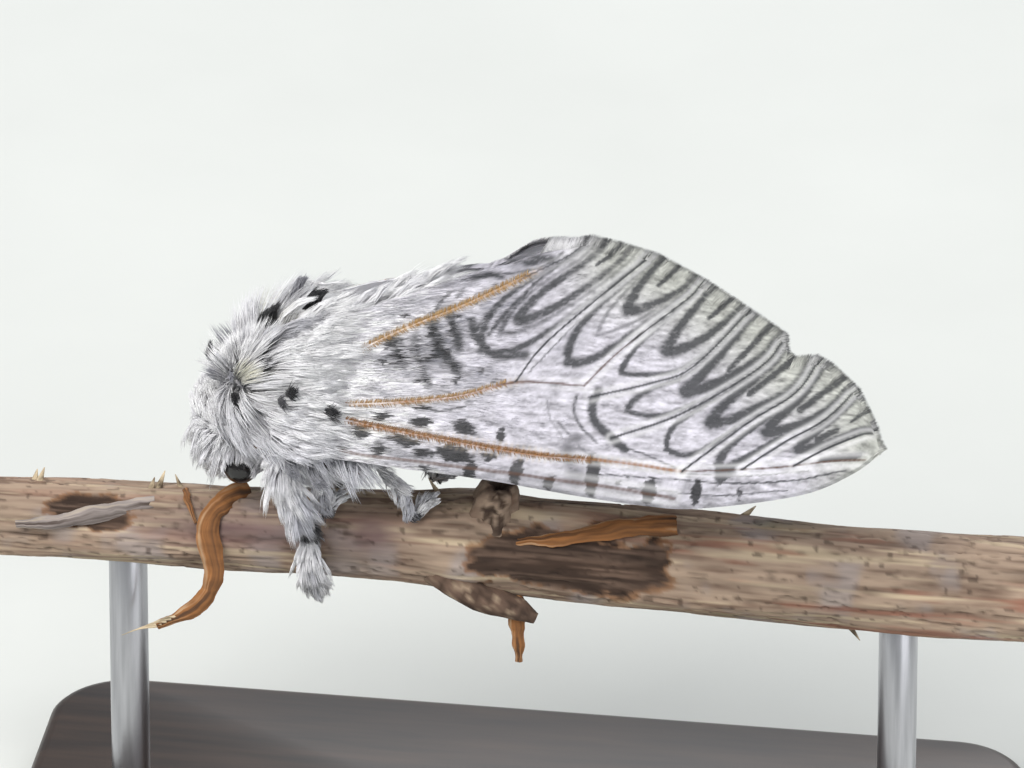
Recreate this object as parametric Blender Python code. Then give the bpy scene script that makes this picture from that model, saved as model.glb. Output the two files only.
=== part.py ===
"""A puss moth at rest on a cut length of branch, carried by a plain display stand.

The branch lies along X with the moth's head towards -X, and +Z is up.  The origin is in
the middle of the stand's underside.  Sizes are millimetres from the branch's axis until
finish_node lifts each solid by BRANCH_HEIGHT and turns it into metres.
"""

import math
import random

import bmesh
import bpy
import numpy as np
from mathutils import Matrix, Vector
from mathutils.geometry import delaunay_2d_cdt

MM = 0.001
GAP = 0.3
SEED = 7

# Branch and stand
BRANCH_HALF = 36.0
BRANCH_HEIGHT = 22.0
BRANCH_THIN = 2.45
BRANCH_THICK = 3.25
BRANCH_BOW = 0.65
BRANCH_SIDES = 18
BRANCH_STEP = 2.25
BARK_DEPTH = 0.3
BARK_LOSS = [(-2.2, 10.6, math.radians(32), math.radians(123)),
             (-29.0, -22.6, math.radians(20), math.radians(75))]
SPLINTERS = [(-22.2, -8, 0.5, 1.1), (-29.6, -4, 0.4, 0.9), (-20.6, -12, -0.5, 0.8),
             (-4.6, -20, -0.8, 0.8), (14.0, -24, 0.9, 0.6), (21.0, 160, 0.8, 0.7),
             (-12.6, 196, 0.9, 0.7), (6.4, 205, -0.8, 0.8)]
BASE_LENGTH = 62.0
BASE_DEPTH = 30.0
BASE_THICKNESS = 3.0
ROD_RADIUS = 1.2
ROD_SPREAD = 24.0
ROD_SOCKET = 1.0

# Wings: root, tip and inner corner, then the way the sheet bends; the far wing is given as if
# on the left and is held steeper, lower and a little further forward than the near one
NEAR_WING = (Vector((-12.8, -5.25, 10.9)), Vector((24.0, -7.75, 13.2)), Vector((5.4, -0.5, 23.1)))
FAR_WING = (Vector((-15.3, -6.4, 10.7)), Vector((21.4, -4.2, 7.0)), Vector((4.0, -1.05, 20.3)))
SHEET = 0.5
VEIN_HEIGHT = 0.25
VEIN_FOOT = 0.4
CAMBER = 0.9
CURL_ANGLE = math.radians(60)
CURL_LENGTH = 3.0
CURL_FADE = 5.0
CURL_TO = 18.0
CURL_DEPTH = 2.0
RIDGE_LOW = 5.9
RIDGE_SLOPE = 0.35
COSTA_LINE = -1.5
COSTA_DROOP = 0.1

# Body
THORAX_CENTRE = Vector((-12.3, 0.0, 10.7))
THORAX_CORE = Vector((5.2, 4.5, 3.7))
THORAX_COAT = Vector((6.5, 6.1, 6.1))
FURROW = 0.32
FURROW_WIDTH = 0.3
THORAX_LOCKS = 52
LOCK_WIDTH = 2.6
LOCK_THICKNESS = 0.8
SHOULDER_TIERS = [(2.9, 0.95), (1.2, 1.25)]
SHOULDER_ROWS = 4
SHOULDER_STEP = 2.1
SADDLE_SIDES = (-1.7, 0.0, 1.7)
HEAD_CENTRE = Vector((-17.4, 0.0, 7.9))
HEAD_CORE = Vector((2.1, 2.3, 2.6))
HEAD_COAT = Vector((2.9, 3.3, 4.0))
NECK_CENTRE = Vector((-19.6, 0.0, 7.3))
NECK_REACH = Vector((4.6, 4.8, 5.6))
HEAD_LOCKS = 26
HEAD_LOCK_WIDTH = 2.1
EYE_CENTRE = Vector((-16.5, -2.15, 5.95))
EYE_RADIUS = 1.1
ABDOMEN_FRONT = -7.4
ABDOMEN_LENGTH = 19.0
ABDOMEN_RADIUS = 4.1
ABDOMEN_HEIGHT = 10.3
SEGMENT_COUNT = 8

# Legs and feelers, as left-hand paths; feet are (x, degrees round the branch)
FORE_KNEE = [(-13.0, -1.8, 8.4), (-13.5, -3.4, 8.1), (-13.6, -4.8, 7.2), (-13.0, -5.2, 5.8),
             (-12.5, -5.0, 4.3)]
MID_KNEE = [(-11.0, -1.8, 7.6), (-11.3, -3.3, 6.6), (-11.3, -3.5, 5.4)]
HIND_KNEE = [(-8.9, -1.6, 7.4), (-7.2, -2.9, 6.2), (-6.2, -3.1, 5.2)]
FORE_FOOT = [(-12.2, 62), (-12.0, 86), (-11.8, 112), (-11.6, 138)]
MID_FOOT = [(-11.2, 42), (-10.9, 30), (-10.3, 20)]
HIND_FOOT = [(-5.8, 42), (-5.2, 30), (-4.4, 22)]
LIMBS = {"fore": (FORE_KNEE, FORE_FOOT), "mid": (MID_KNEE, MID_FOOT),
         "hind": (HIND_KNEE, HIND_FOOT)}
LIMB_RADIUS = {"fore": 0.62, "mid": 0.5, "hind": 0.48}
LIMB_COAT = {"fore": (6, 1.6, 2.2), "mid": (3, 0.9, 1.3), "hind": (3, 0.9, 1.3)}
LIMB_TURNS = (-65, 0, 65)
LIMB_LOCK = 0.5
FEELER_PATH = [(-17.6, -1.5, 8.9), (-16.9, -3.0, 8.9), (-15.4, -4.6, 8.8),
               (-13.4, -5.4, 8.7), (-11.0, -5.8, 8.4), (-8.2, -5.9, 8.0)]
FEELER_RADIUS = 0.3
COMB_LENGTH = 0.75


def unit(vector):
    """The vector at length one."""
    vector = Vector(vector)
    return vector.normalized()


def smooth_path(points, steps):
    """Catmull-Rom points through the given ones, steps to each stretch."""
    points = [Vector(point) for point in points]
    padded = [2 * points[0] - points[1]] + points + [2 * points[-1] - points[-2]]
    path = []
    for index in range(1, len(padded) - 2):
        before, start, end, after = padded[index - 1:index + 3]
        for step in range(steps):
            t = step / steps
            path.append(0.5 * (2 * start + (end - before) * t
                               + (2 * before - 5 * start + 4 * end - after) * t * t
                               + (3 * start - before - 3 * end + after) * t ** 3))
    path.append(points[-1])
    return path


def make_solid(name, verts, faces):
    """A closed mesh object in the scene, its faces pointing out."""
    mesh = bpy.data.meshes.new(name)
    mesh.from_pydata([tuple(vert) for vert in verts], [], faces)
    work = bmesh.new()
    work.from_mesh(mesh)
    bmesh.ops.recalc_face_normals(work, faces=work.faces)
    work.to_mesh(mesh)
    work.free()
    solid = bpy.data.objects.new(name, mesh)
    bpy.context.scene.collection.objects.link(solid)
    return solid


def loft(name, rings, tip=None):
    """A skin over rings of equal count, flat at the start and flat or pointed at the end."""
    count = len(rings[0])
    verts = [vert for ring in rings for vert in ring]
    faces = [list(range(count))[::-1]]
    for level in range(len(rings) - 1):
        low = level * count
        for side in range(count):
            other = (side + 1) % count
            faces.append([low + side, low + other, low + count + other, low + count + side])
    last = (len(rings) - 1) * count
    if tip is None:
        faces.append([last + side for side in range(count)])
    else:
        verts.append(tip)
        for side in range(count):
            faces.append([last + side, last + (side + 1) % count, len(verts) - 1])
    return make_solid(name, verts, faces)


def tube(name, path, radii, sides, pointed=False):
    """A round tube along a path with a radius at each point."""
    path = [Vector(point) for point in path]
    rings = []
    across = None
    for index, centre in enumerate(path):
        ahead = path[min(index + 1, len(path) - 1)]
        behind = path[max(index - 1, 0)]
        along = unit(ahead - behind)
        if across is None:
            across = unit(along.orthogonal())
        across = unit(across - along * across.dot(along))
        up = along.cross(across)
        ring = []
        for side in range(sides):
            angle = 2 * math.pi * side / sides
            ring.append(centre + radii[index] * (math.cos(angle) * across + math.sin(angle) * up))
        rings.append(ring)
    if pointed:
        return loft(name, rings[:-1], path[-1])
    return loft(name, rings)


def ellipsoid(name, centre, radii, segments=16, levels=10):
    """A closed ellipsoid with its poles along X."""
    verts = [centre - Vector((radii[0], 0, 0))]
    for level in range(1, levels):
        polar = math.pi * level / levels
        for side in range(segments):
            angle = 2 * math.pi * side / segments
            verts.append(centre + Vector((-radii[0] * math.cos(polar),
                                          radii[1] * math.sin(polar) * math.cos(angle),
                                          radii[2] * math.sin(polar) * math.sin(angle))))
    verts.append(centre + Vector((radii[0], 0, 0)))
    faces = []
    for side in range(segments):
        other = (side + 1) % segments
        faces.append([0, 1 + other, 1 + side])
        for level in range(levels - 2):
            low = 1 + level * segments
            faces.append([low + side, low + other, low + segments + other, low + segments + side])
        last = 1 + (levels - 2) * segments
        faces.append([last + side, last + other, len(verts) - 1])
    return make_solid(name, verts, faces)


def combine(target, others, operation, solver="EXACT"):
    """One applied Boolean of the target with a collection of closed solids."""
    group = bpy.data.collections.new("operands")
    bpy.context.scene.collection.children.link(group)
    for other in others:
        bpy.context.scene.collection.objects.unlink(other)
        group.objects.link(other)
    modifier = target.modifiers.new("combine", "BOOLEAN")
    modifier.operand_type = "COLLECTION"
    modifier.collection = group
    modifier.operation = operation
    modifier.solver = solver
    depsgraph = bpy.context.evaluated_depsgraph_get()
    result = bpy.data.meshes.new_from_object(target.evaluated_get(depsgraph))
    target.modifiers.clear()
    target.data = result
    for other in others:
        bpy.data.objects.remove(other)
    bpy.data.collections.remove(group)
    return target


def keep_largest(solid):
    """Only the closed surface with the most volume stays."""
    work = bmesh.new()
    work.from_mesh(solid.data)
    loose = set(work.faces)
    best = (0.0, [])
    while loose:
        island = [loose.pop()]
        for face in island:
            for edge in face.edges:
                for neighbour in edge.link_faces:
                    if neighbour in loose:
                        loose.remove(neighbour)
                        island.append(neighbour)
        volume = 0.0
        for face in island:
            first = face.verts[0].co
            for second, third in zip(face.verts[1:-1], face.verts[2:]):
                volume += first.dot(second.co.cross(third.co)) / 6
        if volume > best[0]:
            best = (volume, island)
    kept = set(best[1])
    spare = [face for face in work.faces if face not in kept]
    bmesh.ops.delete(work, geom=spare, context="FACES")
    work.to_mesh(solid.data)
    work.free()


def bend(root, middle, tip, t):
    """Place and heading at t along the curve that leaves root for middle and ends at tip."""
    place = root * (1 - t) ** 2 + middle * 2 * t * (1 - t) + tip * t * t
    heading = (middle - root) * (1 - t) + (tip - middle) * t
    return place, unit(heading)


def lock(root, middle, tip, facing, width, thickness, stations=(0.0, 0.45, 0.8)):
    """A flat tapered lock of hair along a bent line, its broad side turned to facing."""
    rings = []
    for t in stations:
        centre, along = bend(root, middle, tip, t)
        side = unit(along.cross(facing))
        up = side.cross(along)
        half_width = 0.5 * width * (1 - 0.75 * t * t)
        half_thickness = 0.5 * thickness * (1 - 0.35 * t)
        rings.append([centre + side * half_width, centre + up * half_thickness,
                      centre - side * half_width, centre - up * half_thickness])
    return loft("lock", rings, tip)


# The forewing's sheet

def wing_axes(far):
    """A wing's root, and unit vectors along it, up it and out of it, as on the left side."""
    root, apex, tornus = FAR_WING if far else NEAR_WING
    along = unit(apex - root)
    span = tornus - root
    up = unit(span - along * span.dot(along))
    return root, along, up, along.cross(up)


def ridge(p):
    """How far up the wing its inner edge meets the other wing."""
    return RIDGE_LOW + RIDGE_SLOPE * p


def curl_share(p):
    """How strongly the inner edge curls over the back, from one near the base to none."""
    return min(max((CURL_TO - p) / CURL_FADE, 0.0), 1.0)


def wing_point(p, q, lift, far=False):
    """The place p along and q up a wing, lifted off its sheet; the far one still unmirrored."""
    root, along, up, out = wing_axes(far)
    share = curl_share(p)
    start = ridge(p) - CURL_DEPTH * share
    angle = CURL_ANGLE * share * max(q - start, 0.0) / CURL_LENGTH
    height = q
    depth = 0.0
    if angle > 0.01:
        radius = (q - start) / angle
        height = start + radius * math.sin(angle)
        depth = -radius * (1 - math.cos(angle))
    fullness = math.sin(math.pi * min(max(p / 37.0, 0.0), 1.0))
    depth += CAMBER * fullness * math.cos(0.5 * math.pi * min(abs(q - 4.0) / 8.5, 1.0))
    depth -= COSTA_DROOP * min(q - COSTA_LINE, 0.0) ** 2
    normal = out * math.cos(angle) + up * math.sin(angle)
    return root + along * p + up * height + out * depth + normal * lift


COSTA = [(0.2, -0.8), (1.9, -2.0), (5.2, -2.4), (12.2, -3.0), (17.9, -3.7), (22.1, -4.1),
         (25.5, -4.1), (31.8, -3.0), (35.1, -1.5), (37.0, 0.1)]
OUTER_NEAR = [(36.1, 0.4), (36.5, 1.4), (35.2, 3.7), (33.4, 5.2), (32.6, 5.6), (31.2, 5.4),
              (30.7, 5.7), (30.7, 6.7), (28.3, 8.2), (25.5, 9.8), (22.3, 11.3), (19.8, 11.9),
              (18.2, 12.2)]
OUTER_FAR = [(36.3, 1.6), (35.2, 3.6), (33.2, 5.5), (30.9, 6.8), (28.3, 8.2), (25.5, 9.8),
             (22.3, 11.6), (19.8, 13.0), (18.2, 13.6)]
INNER_NEAR = [(15.4, 11.6), (12.5, 10.8), (8.8, 9.9), (5.4, 8.95), (3.4, 7.9)]
INNER_FAR = [(15.6, 13.6), (14.2, 12.8), (12.5, 11.4), (8.8, 9.9), (5.4, 8.95), (3.4, 7.9)]
BASE_EDGE = [(2.5, 6.2), (1.5, 4.2), (0.5, 2.4), (0.0, 0.8)]

VEINS = {
    "subcosta": [(0.5, -0.7), (3.3, -1.7), (8.0, -2.1), (13.0, -2.5), (19.0, -3.1), (24.0, -3.6)],
    "radius": [(0.4, 0.3), (3.7, -0.3), (9.0, -1.0), (15.2, -1.7), (19.6, -1.9), (24.1, -2.3)],
    "radius_end": [(24.1, -2.3), (27.8, -2.0), (31.0, -1.6), (35.8, -0.6)],
    "radius_four": [(31.0, -1.6), (33.1, -0.4), (36.0, 0.9)],
    "radius_five": [(27.8, -2.0), (30.4, -0.2), (32.8, 1.3), (35.0, 3.6)],
    "cubitus": [(0.3, 1.0), (3.5, 0.8), (9.7, 1.5), (13.6, 2.6), (17.9, 2.6)],
    "cubitus_two": [(13.6, 2.6), (15.5, 5.2), (20.4, 9.7), (21.9, 11.1)],
    "cubitus_one": [(17.9, 2.6), (20.1, 4.9), (24.0, 8.2), (25.2, 9.6)],
    "cross": [(17.9, 2.6), (18.4, 1.2), (19.7, -0.5), (22.7, -1.6), (24.1, -2.3)],
    "medial_three": [(18.2, 1.9), (22.2, 3.0), (24.6, 4.1), (28.1, 7.9)],
    "medial_two": [(19.7, -0.5), (24.0, 1.2), (28.5, 4.1), (30.3, 6.2)],
    "medial_one": [(24.1, -2.3), (28.3, 1.0), (30.9, 2.8), (32.7, 5.3)],
    "anal": [(0.6, 2.0), (3.6, 4.0), (6.4, 5.5), (11.1, 7.6), (16.2, 10.4), (17.8, 11.7)],
}

HIND_OUTLINE = [(1.6, -0.9), (10.0, -1.6), (18.0, -2.2), (22.0, -1.4), (23.2, 1.6),
                (21.8, 5.6), (18.6, 9.4), (13.6, 9.3), (8.4, 7.6), (4.4, 5.6), (1.8, 2.6)]
HIND_VEINS = {
    "first": [(2.2, 0.2), (10.0, -0.6), (21.4, -1.0)],
    "second": [(2.2, 0.8), (12.0, 1.4), (22.6, 1.8)],
    "third": [(2.4, 1.4), (11.0, 3.4), (21.2, 5.4)],
    "fourth": [(2.6, 2.2), (10.0, 5.0), (18.2, 8.9)],
}


def flat(points, steps):
    """A smooth flat line through (p, q) points."""
    return [point.to_2d() for point in smooth_path([(p, q, 0.0) for p, q in points], steps)]


def distance_to_line(point, line):
    """Distance from a flat point to a polyline."""
    best = 1e9
    for start, end in zip(line, line[1:]):
        run = end - start
        t = min(max((point - start).dot(run) / run.length_squared, 0.0), 1.0)
        best = min(best, (start + run * t - point).length)
    return best


def wing_outline(far):
    """The forewing's closed edge in (p, q), with the near wing's torn notch."""
    outer = OUTER_FAR if far else OUTER_NEAR
    inner = INNER_FAR if far else INNER_NEAR
    edge = flat(COSTA, 2)[:-1] + [Vector(point) for point in [COSTA[-1]] + outer]
    return edge + flat([outer[-1]] + inner, 2)[1:] + flat(BASE_EDGE, 1)


def inside(point, outline):
    """Whether a flat point lies within a closed outline."""
    crossings = 0
    for start, end in zip(outline, outline[1:] + outline[:1]):
        if (start.y > point.y) != (end.y > point.y):
            share = (point.y - start.y) / (end.y - start.y)
            crossings += start.x + share * (end.x - start.x) > point.x
    return crossings % 2 == 1


def far_from(point, others, reach):
    """Whether a flat point keeps its distance from all others."""
    return all((point - other).length > reach for other in others)


def sheet_layout(outline, veins, grid):
    """Flat points and triangles of a veined sheet, with the veins along its edges."""
    points = list(outline)
    count = len(outline)
    edges = [(index, (index + 1) % count) for index in range(count)]
    lines = [flat(vein, 3) for vein in veins.values()]
    closed = outline + outline[:1]
    for line in lines:
        previous = None
        for point in line:
            near = [index for index, other in enumerate(points) if (other - point).length < 0.3]
            here = near[0] if near else len(points)
            if not near:
                points.append(point)
            if previous is not None and previous != here:
                edges.append((previous, here))
            previous = here
    for line in lines:
        for start, end in zip(line, line[1:]):
            run = (end - start).normalized()
            for side in (-1, 1):
                foot = start + Vector((-run.y, run.x)) * side * VEIN_FOOT
                clear = min(distance_to_line(foot, other) for other in lines)
                if clear < 0.9 * VEIN_FOOT or not inside(foot, outline):
                    continue
                if distance_to_line(foot, closed) > 0.35 and far_from(foot, points, 0.35):
                    points.append(foot)
    extent_p = max(point.x for point in outline)
    rows = np.arange(-4.5, 13.0, grid)
    for row, q in enumerate(rows):
        for p in np.arange(0.4 + 0.5 * grid * (row % 2), extent_p, grid):
            spot = Vector((p, q))
            if not inside(spot, outline) or distance_to_line(spot, closed) < 0.5 * grid:
                continue
            if far_from(spot, points, 0.55 * grid):
                points.append(spot)
    result = delaunay_2d_cdt(points, edges, [list(range(count))], 1, 1e-5)
    return result[0], result[2], lines


def sheet_solid(name, outline, veins, lift, half, ridge_height, grid=2.5, far=False):
    """A thin closed sheet on the wing's surface with its veins raised on the outer face."""
    points, triangles, lines = sheet_layout(outline, veins, grid)
    verts = []
    for top in (True, False):
        for point in points:
            raised = 0.0
            if top and lines:
                near = min(distance_to_line(point, line) for line in lines)
                raised = ridge_height * max(1 - near / VEIN_FOOT, 0.0)
            offset = lift + (half + raised if top else -half)
            verts.append(wing_point(point.x, point.y, offset, far))
    faces = []
    uses = {}
    count = len(points)
    for triangle in triangles:
        faces.append(list(triangle))
        faces.append([index + count for index in reversed(triangle)])
        for start, end in zip(triangle, list(triangle[1:]) + [triangle[0]]):
            uses[(start, end)] = True
    for start, end in uses:
        if (end, start) not in uses:
            faces.append([start, start + count, end + count, end])
    if far:
        verts = [Vector((vert.x, -vert.y, vert.z)) for vert in verts]
    return make_solid(name, verts, faces)


def forewing(side):
    """One forewing; side is -1 for the left, near one and 1 for the right."""
    name = "forewing_left" if side < 0 else "forewing_right"
    return sheet_solid(name, wing_outline(side > 0), VEINS, 0.0, SHEET / 2, VEIN_HEIGHT,
                       far=side > 0)


def hindwing(side):
    """One hindwing, folded flat beneath its forewing."""
    name = "hindwing_left" if side < 0 else "hindwing_right"
    lift = -(SHEET + GAP + VEIN_HEIGHT + 0.1)
    return sheet_solid(name, flat(HIND_OUTLINE + HIND_OUTLINE[:1], 2)[:-1], HIND_VEINS, lift,
                       SHEET / 2, 0.15, grid=2.6, far=side > 0)


def widened(outline, reach):
    """A flat outline moved outwards by reach."""
    count = len(outline)
    moved = []
    for index, point in enumerate(outline):
        run = (outline[(index + 1) % count] - outline[index - 1]).normalized()
        moved.append(point + Vector((run.y, -run.x)) * reach)
    return moved


def wing_clearance(side):
    """The room that a forewing and hindwing take near the body, with the gap round them."""
    fore = [(-0.3, 0.6), (0.0, -1.2), (1.9, -2.5), (5.2, -2.9), (16.0, -3.9), (16.0, 12.6),
            (12.5, 11.3), (8.8, 10.4), (5.2, 9.4), (3.0, 8.3), (2.1, 6.4), (1.1, 4.4), (0.1, 2.5)]
    outline = flat(fore + fore[:1], 2)[:-1]
    top = SHEET / 2 + VEIN_HEIGHT + GAP
    bottom = -(1.5 * SHEET + 2 * GAP + VEIN_HEIGHT + 0.1)
    return sheet_solid("wing_room", outline, {}, (top + bottom) / 2, (top - bottom) / 2, 0.0,
                       grid=2.6, far=side > 0)


# Branch

def branch_bow(x):
    """How far the branch's middle rises above a straight line."""
    return BRANCH_BOW * math.exp(-((x + 5.0) / 20.0) ** 2)


def branch_radius(x, angle):
    """The branch's radius at x and at an angle from straight up towards the near side."""
    middle = 0.5 * (BRANCH_THIN + BRANCH_THICK)
    radius = middle + 0.5 * (BRANCH_THICK - BRANCH_THIN) * math.tanh((x + 8.0) / 14.0)
    radius += 0.3 * math.exp(-((x + 2.5) / 2.5) ** 2)
    radius += 0.07 * math.sin(5 * angle + 0.33 * x) + 0.05 * math.sin(8 * angle - 0.21 * x + 1.0)
    for start, end, low, high in BARK_LOSS:
        lengthwise = (x - start) * (end - x) / (0.25 * (end - start) ** 2)
        crosswise = (angle - low) * (high - angle) / (0.25 * (high - low) ** 2)
        if lengthwise > 0 and crosswise > 0:
            radius -= BARK_DEPTH * min(2.5 * min(lengthwise, crosswise), 1.0)
    return radius


def on_branch(x, degrees, above):
    """A point above the bark at x, at degrees from straight up towards the near side."""
    angle = math.radians(degrees)
    reach = branch_radius(x, angle % (2 * math.pi)) + above
    return Vector((x, -reach * math.sin(angle), branch_bow(x) + reach * math.cos(angle)))


def strip(path, width, thickness, facing):
    """A peeled strip of bark along a path, thin and tapering to its end."""
    path = smooth_path(path, 2)
    rings = []
    last = len(path) - 1
    for index, centre in enumerate(path[:-1]):
        along = unit(path[index + 1] - path[max(index - 1, 0)])
        side = unit(along.cross(Vector(facing)))
        up = side.cross(along)
        half_width = 0.5 * width * (1 - 0.6 * (index / last) ** 2)
        half_thickness = 0.5 * thickness
        rings.append([centre + side * half_width, centre + up * half_thickness,
                      centre - side * half_width, centre - up * half_thickness])
    return loft("strip", rings, path[-1])


def bark_pieces():
    """Peeling strips, the knot, the broken spur and splinters that grow from the bark."""
    pieces = []
    knot = [on_branch(-1.0, 14, -1.6), on_branch(-0.9, 12, 0.2), on_branch(-0.7, 10, 1.0),
            on_branch(-0.6, 9, 1.35)]
    pieces.append(tube("knot", knot, [1.7, 1.35, 1.15, 0.75], 9))
    hanging = [on_branch(-16.2, 6, -0.4), on_branch(-17.6, 30, 0.4), on_branch(-18.5, 62, 0.5),
               (-18.0, -3.7, -0.9), (-18.6, -4.0, -2.6), (-20.0, -4.1, -3.8),
               (-21.5, -4.0, -4.7)]
    pieces.append(strip(hanging, 1.9, 0.55, (0, -1, 0.2)))
    flap = [on_branch(1.0, 34, -0.5), on_branch(3.5, 36, 0.25), on_branch(7.0, 38, 0.45),
            on_branch(10.8, 44, 0.25)]
    pieces.append(strip(flap, 1.5, 0.55, (0, -0.5, 1)))
    left_flap = [on_branch(-22.0, 36, -0.5), on_branch(-25.0, 50, 0.3),
                 on_branch(-28.0, 66, 0.6), on_branch(-30.5, 72, 0.5)]
    pieces.append(strip(left_flap, 1.3, 0.55, (0, -1, 0.4)))
    spur = [on_branch(-4.6, 118, -1.2), on_branch(-2.0, 132, 0.0), on_branch(0.6, 140, 0.8),
            on_branch(1.9, 143, 1.3)]
    pieces.append(tube("spur", spur, [1.0, 1.0, 0.7, 0.4], 7))
    flake = [on_branch(0.4, 140, -0.2), on_branch(0.7, 146, 1.2) + Vector((0, 0, -0.9)),
             on_branch(0.8, 146, 1.4) + Vector((0, 0, -3.0))]
    pieces.append(strip(flake, 1.2, 0.5, (0, -1, 0.1)))
    for x, degrees, lean, height in SPLINTERS:
        root = on_branch(x, degrees, -0.6)
        tip = on_branch(x + lean, degrees, height)
        pieces.append(tube("splinter", [root, (root + tip) / 2, tip], [0.42, 0.32, 0.1], 5,
                           pointed=True))
    return pieces


def branch():
    """The perch: a cut length of dead branch with its peeling bark."""
    rings = []
    count = int(2 * BRANCH_HALF / BRANCH_STEP) + 1
    for x in np.linspace(-BRANCH_HALF, BRANCH_HALF, count):
        ring = []
        for side in range(BRANCH_SIDES):
            degrees = 360.0 * side / BRANCH_SIDES
            ring.append(on_branch(float(x), degrees, 0.0))
        rings.append(ring)
    solid = combine(loft("perch", rings), bark_pieces(), "UNION")
    sockets = [rod("socket", side, GAP) for side in (-1, 1)]
    return combine(solid, sockets, "DIFFERENCE")


# Stand

def rod_top(side):
    """Where a rod ends, a little way up inside the branch."""
    x = side * ROD_SPREAD
    return on_branch(x, 180, -ROD_SOCKET).z


def rod(name, side, spare):
    """One upright rod; spare widens and lengthens it into the socket that it sits in."""
    x = side * ROD_SPREAD
    low = BASE_THICKNESS - BRANCH_HEIGHT - ROD_SOCKET - spare
    high = rod_top(side) + spare
    path = [(x, 0, low), (x, 0, low + 0.3), (x, 0, high - 0.3), (x, 0, high)]
    radius = ROD_RADIUS + spare
    ends = radius if spare else radius - 0.2
    return tube(name, path, [ends, radius, radius, ends], 14)


def base():
    """The flat base with rounded corners, a chamfered rim and a hole for each rod."""
    corner = 5.0
    rings = []
    levels = [(0.0, 0.4), (0.4, 0.0), (BASE_THICKNESS - 0.8, 0.0), (BASE_THICKNESS, 0.8)]
    for height, inset in levels:
        ring = []
        for quarter, (sx, sy) in enumerate([(1, 1), (-1, 1), (-1, -1), (1, -1)]):
            centre = Vector((sx * (BASE_LENGTH / 2 - corner), sy * (BASE_DEPTH / 2 - corner)))
            for step in range(5):
                angle = math.pi / 2 * (quarter + step / 4)
                reach = corner - inset
                ring.append((centre.x + reach * math.cos(angle),
                             centre.y + reach * math.sin(angle), height - BRANCH_HEIGHT))
        rings.append(ring)
    holes = [rod("hole", side, GAP) for side in (-1, 1)]
    return combine(loft("stand_base", rings), holes, "DIFFERENCE")


# Legs and feelers

def mirrored(points, side, shift=0.0):
    """Points of a left limb for either side, moved along the body by shift."""
    return [Vector((point[0] + shift, point[1] * -side, point[2])) for point in points]


def limb_path(kind, side):
    """The middle line of a leg, from inside the body to its foot on the bark."""
    knee, foot = LIMBS[kind]
    above = LIMB_RADIUS[kind] + GAP
    shift = 0.0 if side < 0 else 0.5
    points = mirrored(knee, side, shift)
    for x, degrees in foot:
        points.append(on_branch(x + shift, degrees if side < 0 else -degrees, above))
    return smooth_path(points, 2)


def limb(kind, side, spare=0.0):
    """One leg as a tapering tube, or with spare the room that it needs."""
    path = limb_path(kind, side)
    radius = LIMB_RADIUS[kind]
    last = len(path) - 1
    radii = [radius * (1.0 - 0.25 * index / last) + spare for index in range(last + 1)]
    radii[-1] = 0.55 * radii[-1]
    side_name = "left" if side < 0 else "right"
    return tube(f"leg_{kind}_{side_name}", path, radii, 6)


def limb_locks(kind, side):
    """Tapered locks down a leg, standing off on its outer side."""
    count, width, length = LIMB_COAT[kind]
    path = limb_path(kind, side)
    start = int(0.4 * len(path))
    locks = []
    for number in range(count):
        place = start + (len(path) - 2 - start) * (number // 3) / max(count / 3 - 1, 1)
        index = int(place)
        along = unit(path[index + 1] - path[index])
        centre = Vector((path[index].x, 0, branch_bow(path[index].x)))
        away = path[index] - centre
        away = unit(away - along * away.dot(along))
        around = along.cross(away)
        turn = math.radians(LIMB_TURNS[number % 3])
        way = away * math.cos(turn) + around * math.sin(turn)
        root = path[index] + way * 0.1
        middle = root + way * 0.35 * length + along * 0.3 * length
        tip = root + way * 0.42 * length + along * length
        locks.append(lock(root, middle, tip, way, width, LIMB_LOCK))
    return locks


def furry_limb(kind, side):
    """One leg with the locks that clothe it."""
    return combine(limb(kind, side), limb_locks(kind, side), "UNION", "MANIFOLD")


def feeler(side):
    """One feathered feeler, folded back along the body under the wing's front edge."""
    path = smooth_path(mirrored(FEELER_PATH, side), 2)
    last = len(path) - 1
    radii = [FEELER_RADIUS * (1.0 - 0.45 * index / last) for index in range(last + 1)]
    name = "antenna_left" if side < 0 else "antenna_right"
    shaft = tube(name, path, radii, 5)
    teeth = []
    for index in range(2, last):
        along = unit(path[index + 1] - path[index - 1])
        for turn in (-1, 1):
            across = unit(Vector((0.35, 0.25 * -side, turn)))
            tip = path[index] + across * COMB_LENGTH * math.sin(math.pi * (index + 2) / (last + 4))
            root = path[index] - across * 0.05
            teeth.append(tube("tooth", [root, (root + tip) / 2, tip + along * 0.15],
                              [0.2, 0.16, 0.0], 3, pointed=True))
    return combine(shaft, teeth, "UNION")


def feeler_room(side):
    """The room that a feeler takes, with the gap round it."""
    path = smooth_path(mirrored(FEELER_PATH, side), 2)
    return tube("feeler_room", path, [COMB_LENGTH + GAP] * len(path), 6)


# Body

def on_shell(centre, radii, direction):
    """A point of an ellipsoid in the given direction."""
    return centre + Vector((radii[0] * direction.x, radii[1] * direction.y,
                            radii[2] * direction.z))


def spread_directions(count):
    """Evenly spread unit vectors, front to back."""
    golden = math.pi * (3 - math.sqrt(5))
    directions = []
    for index in range(count):
        x = -1 + 2 * (index + 0.5) / count
        reach = math.sqrt(1 - x * x)
        angle = golden * index
        directions.append(Vector((x, reach * math.cos(angle), reach * math.sin(angle))))
    return directions


def abdomen_profile(share):
    """Radius of the abdomen at a share of its length, with a step at each segment."""
    body = ABDOMEN_RADIUS * (1 - 0.55 * share ** 1.6) * min(1.0, (1 - share) * 5 + 0.35)
    ring = 0.12 * math.cos(2 * math.pi * share * SEGMENT_COUNT)
    return body + ring


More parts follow.
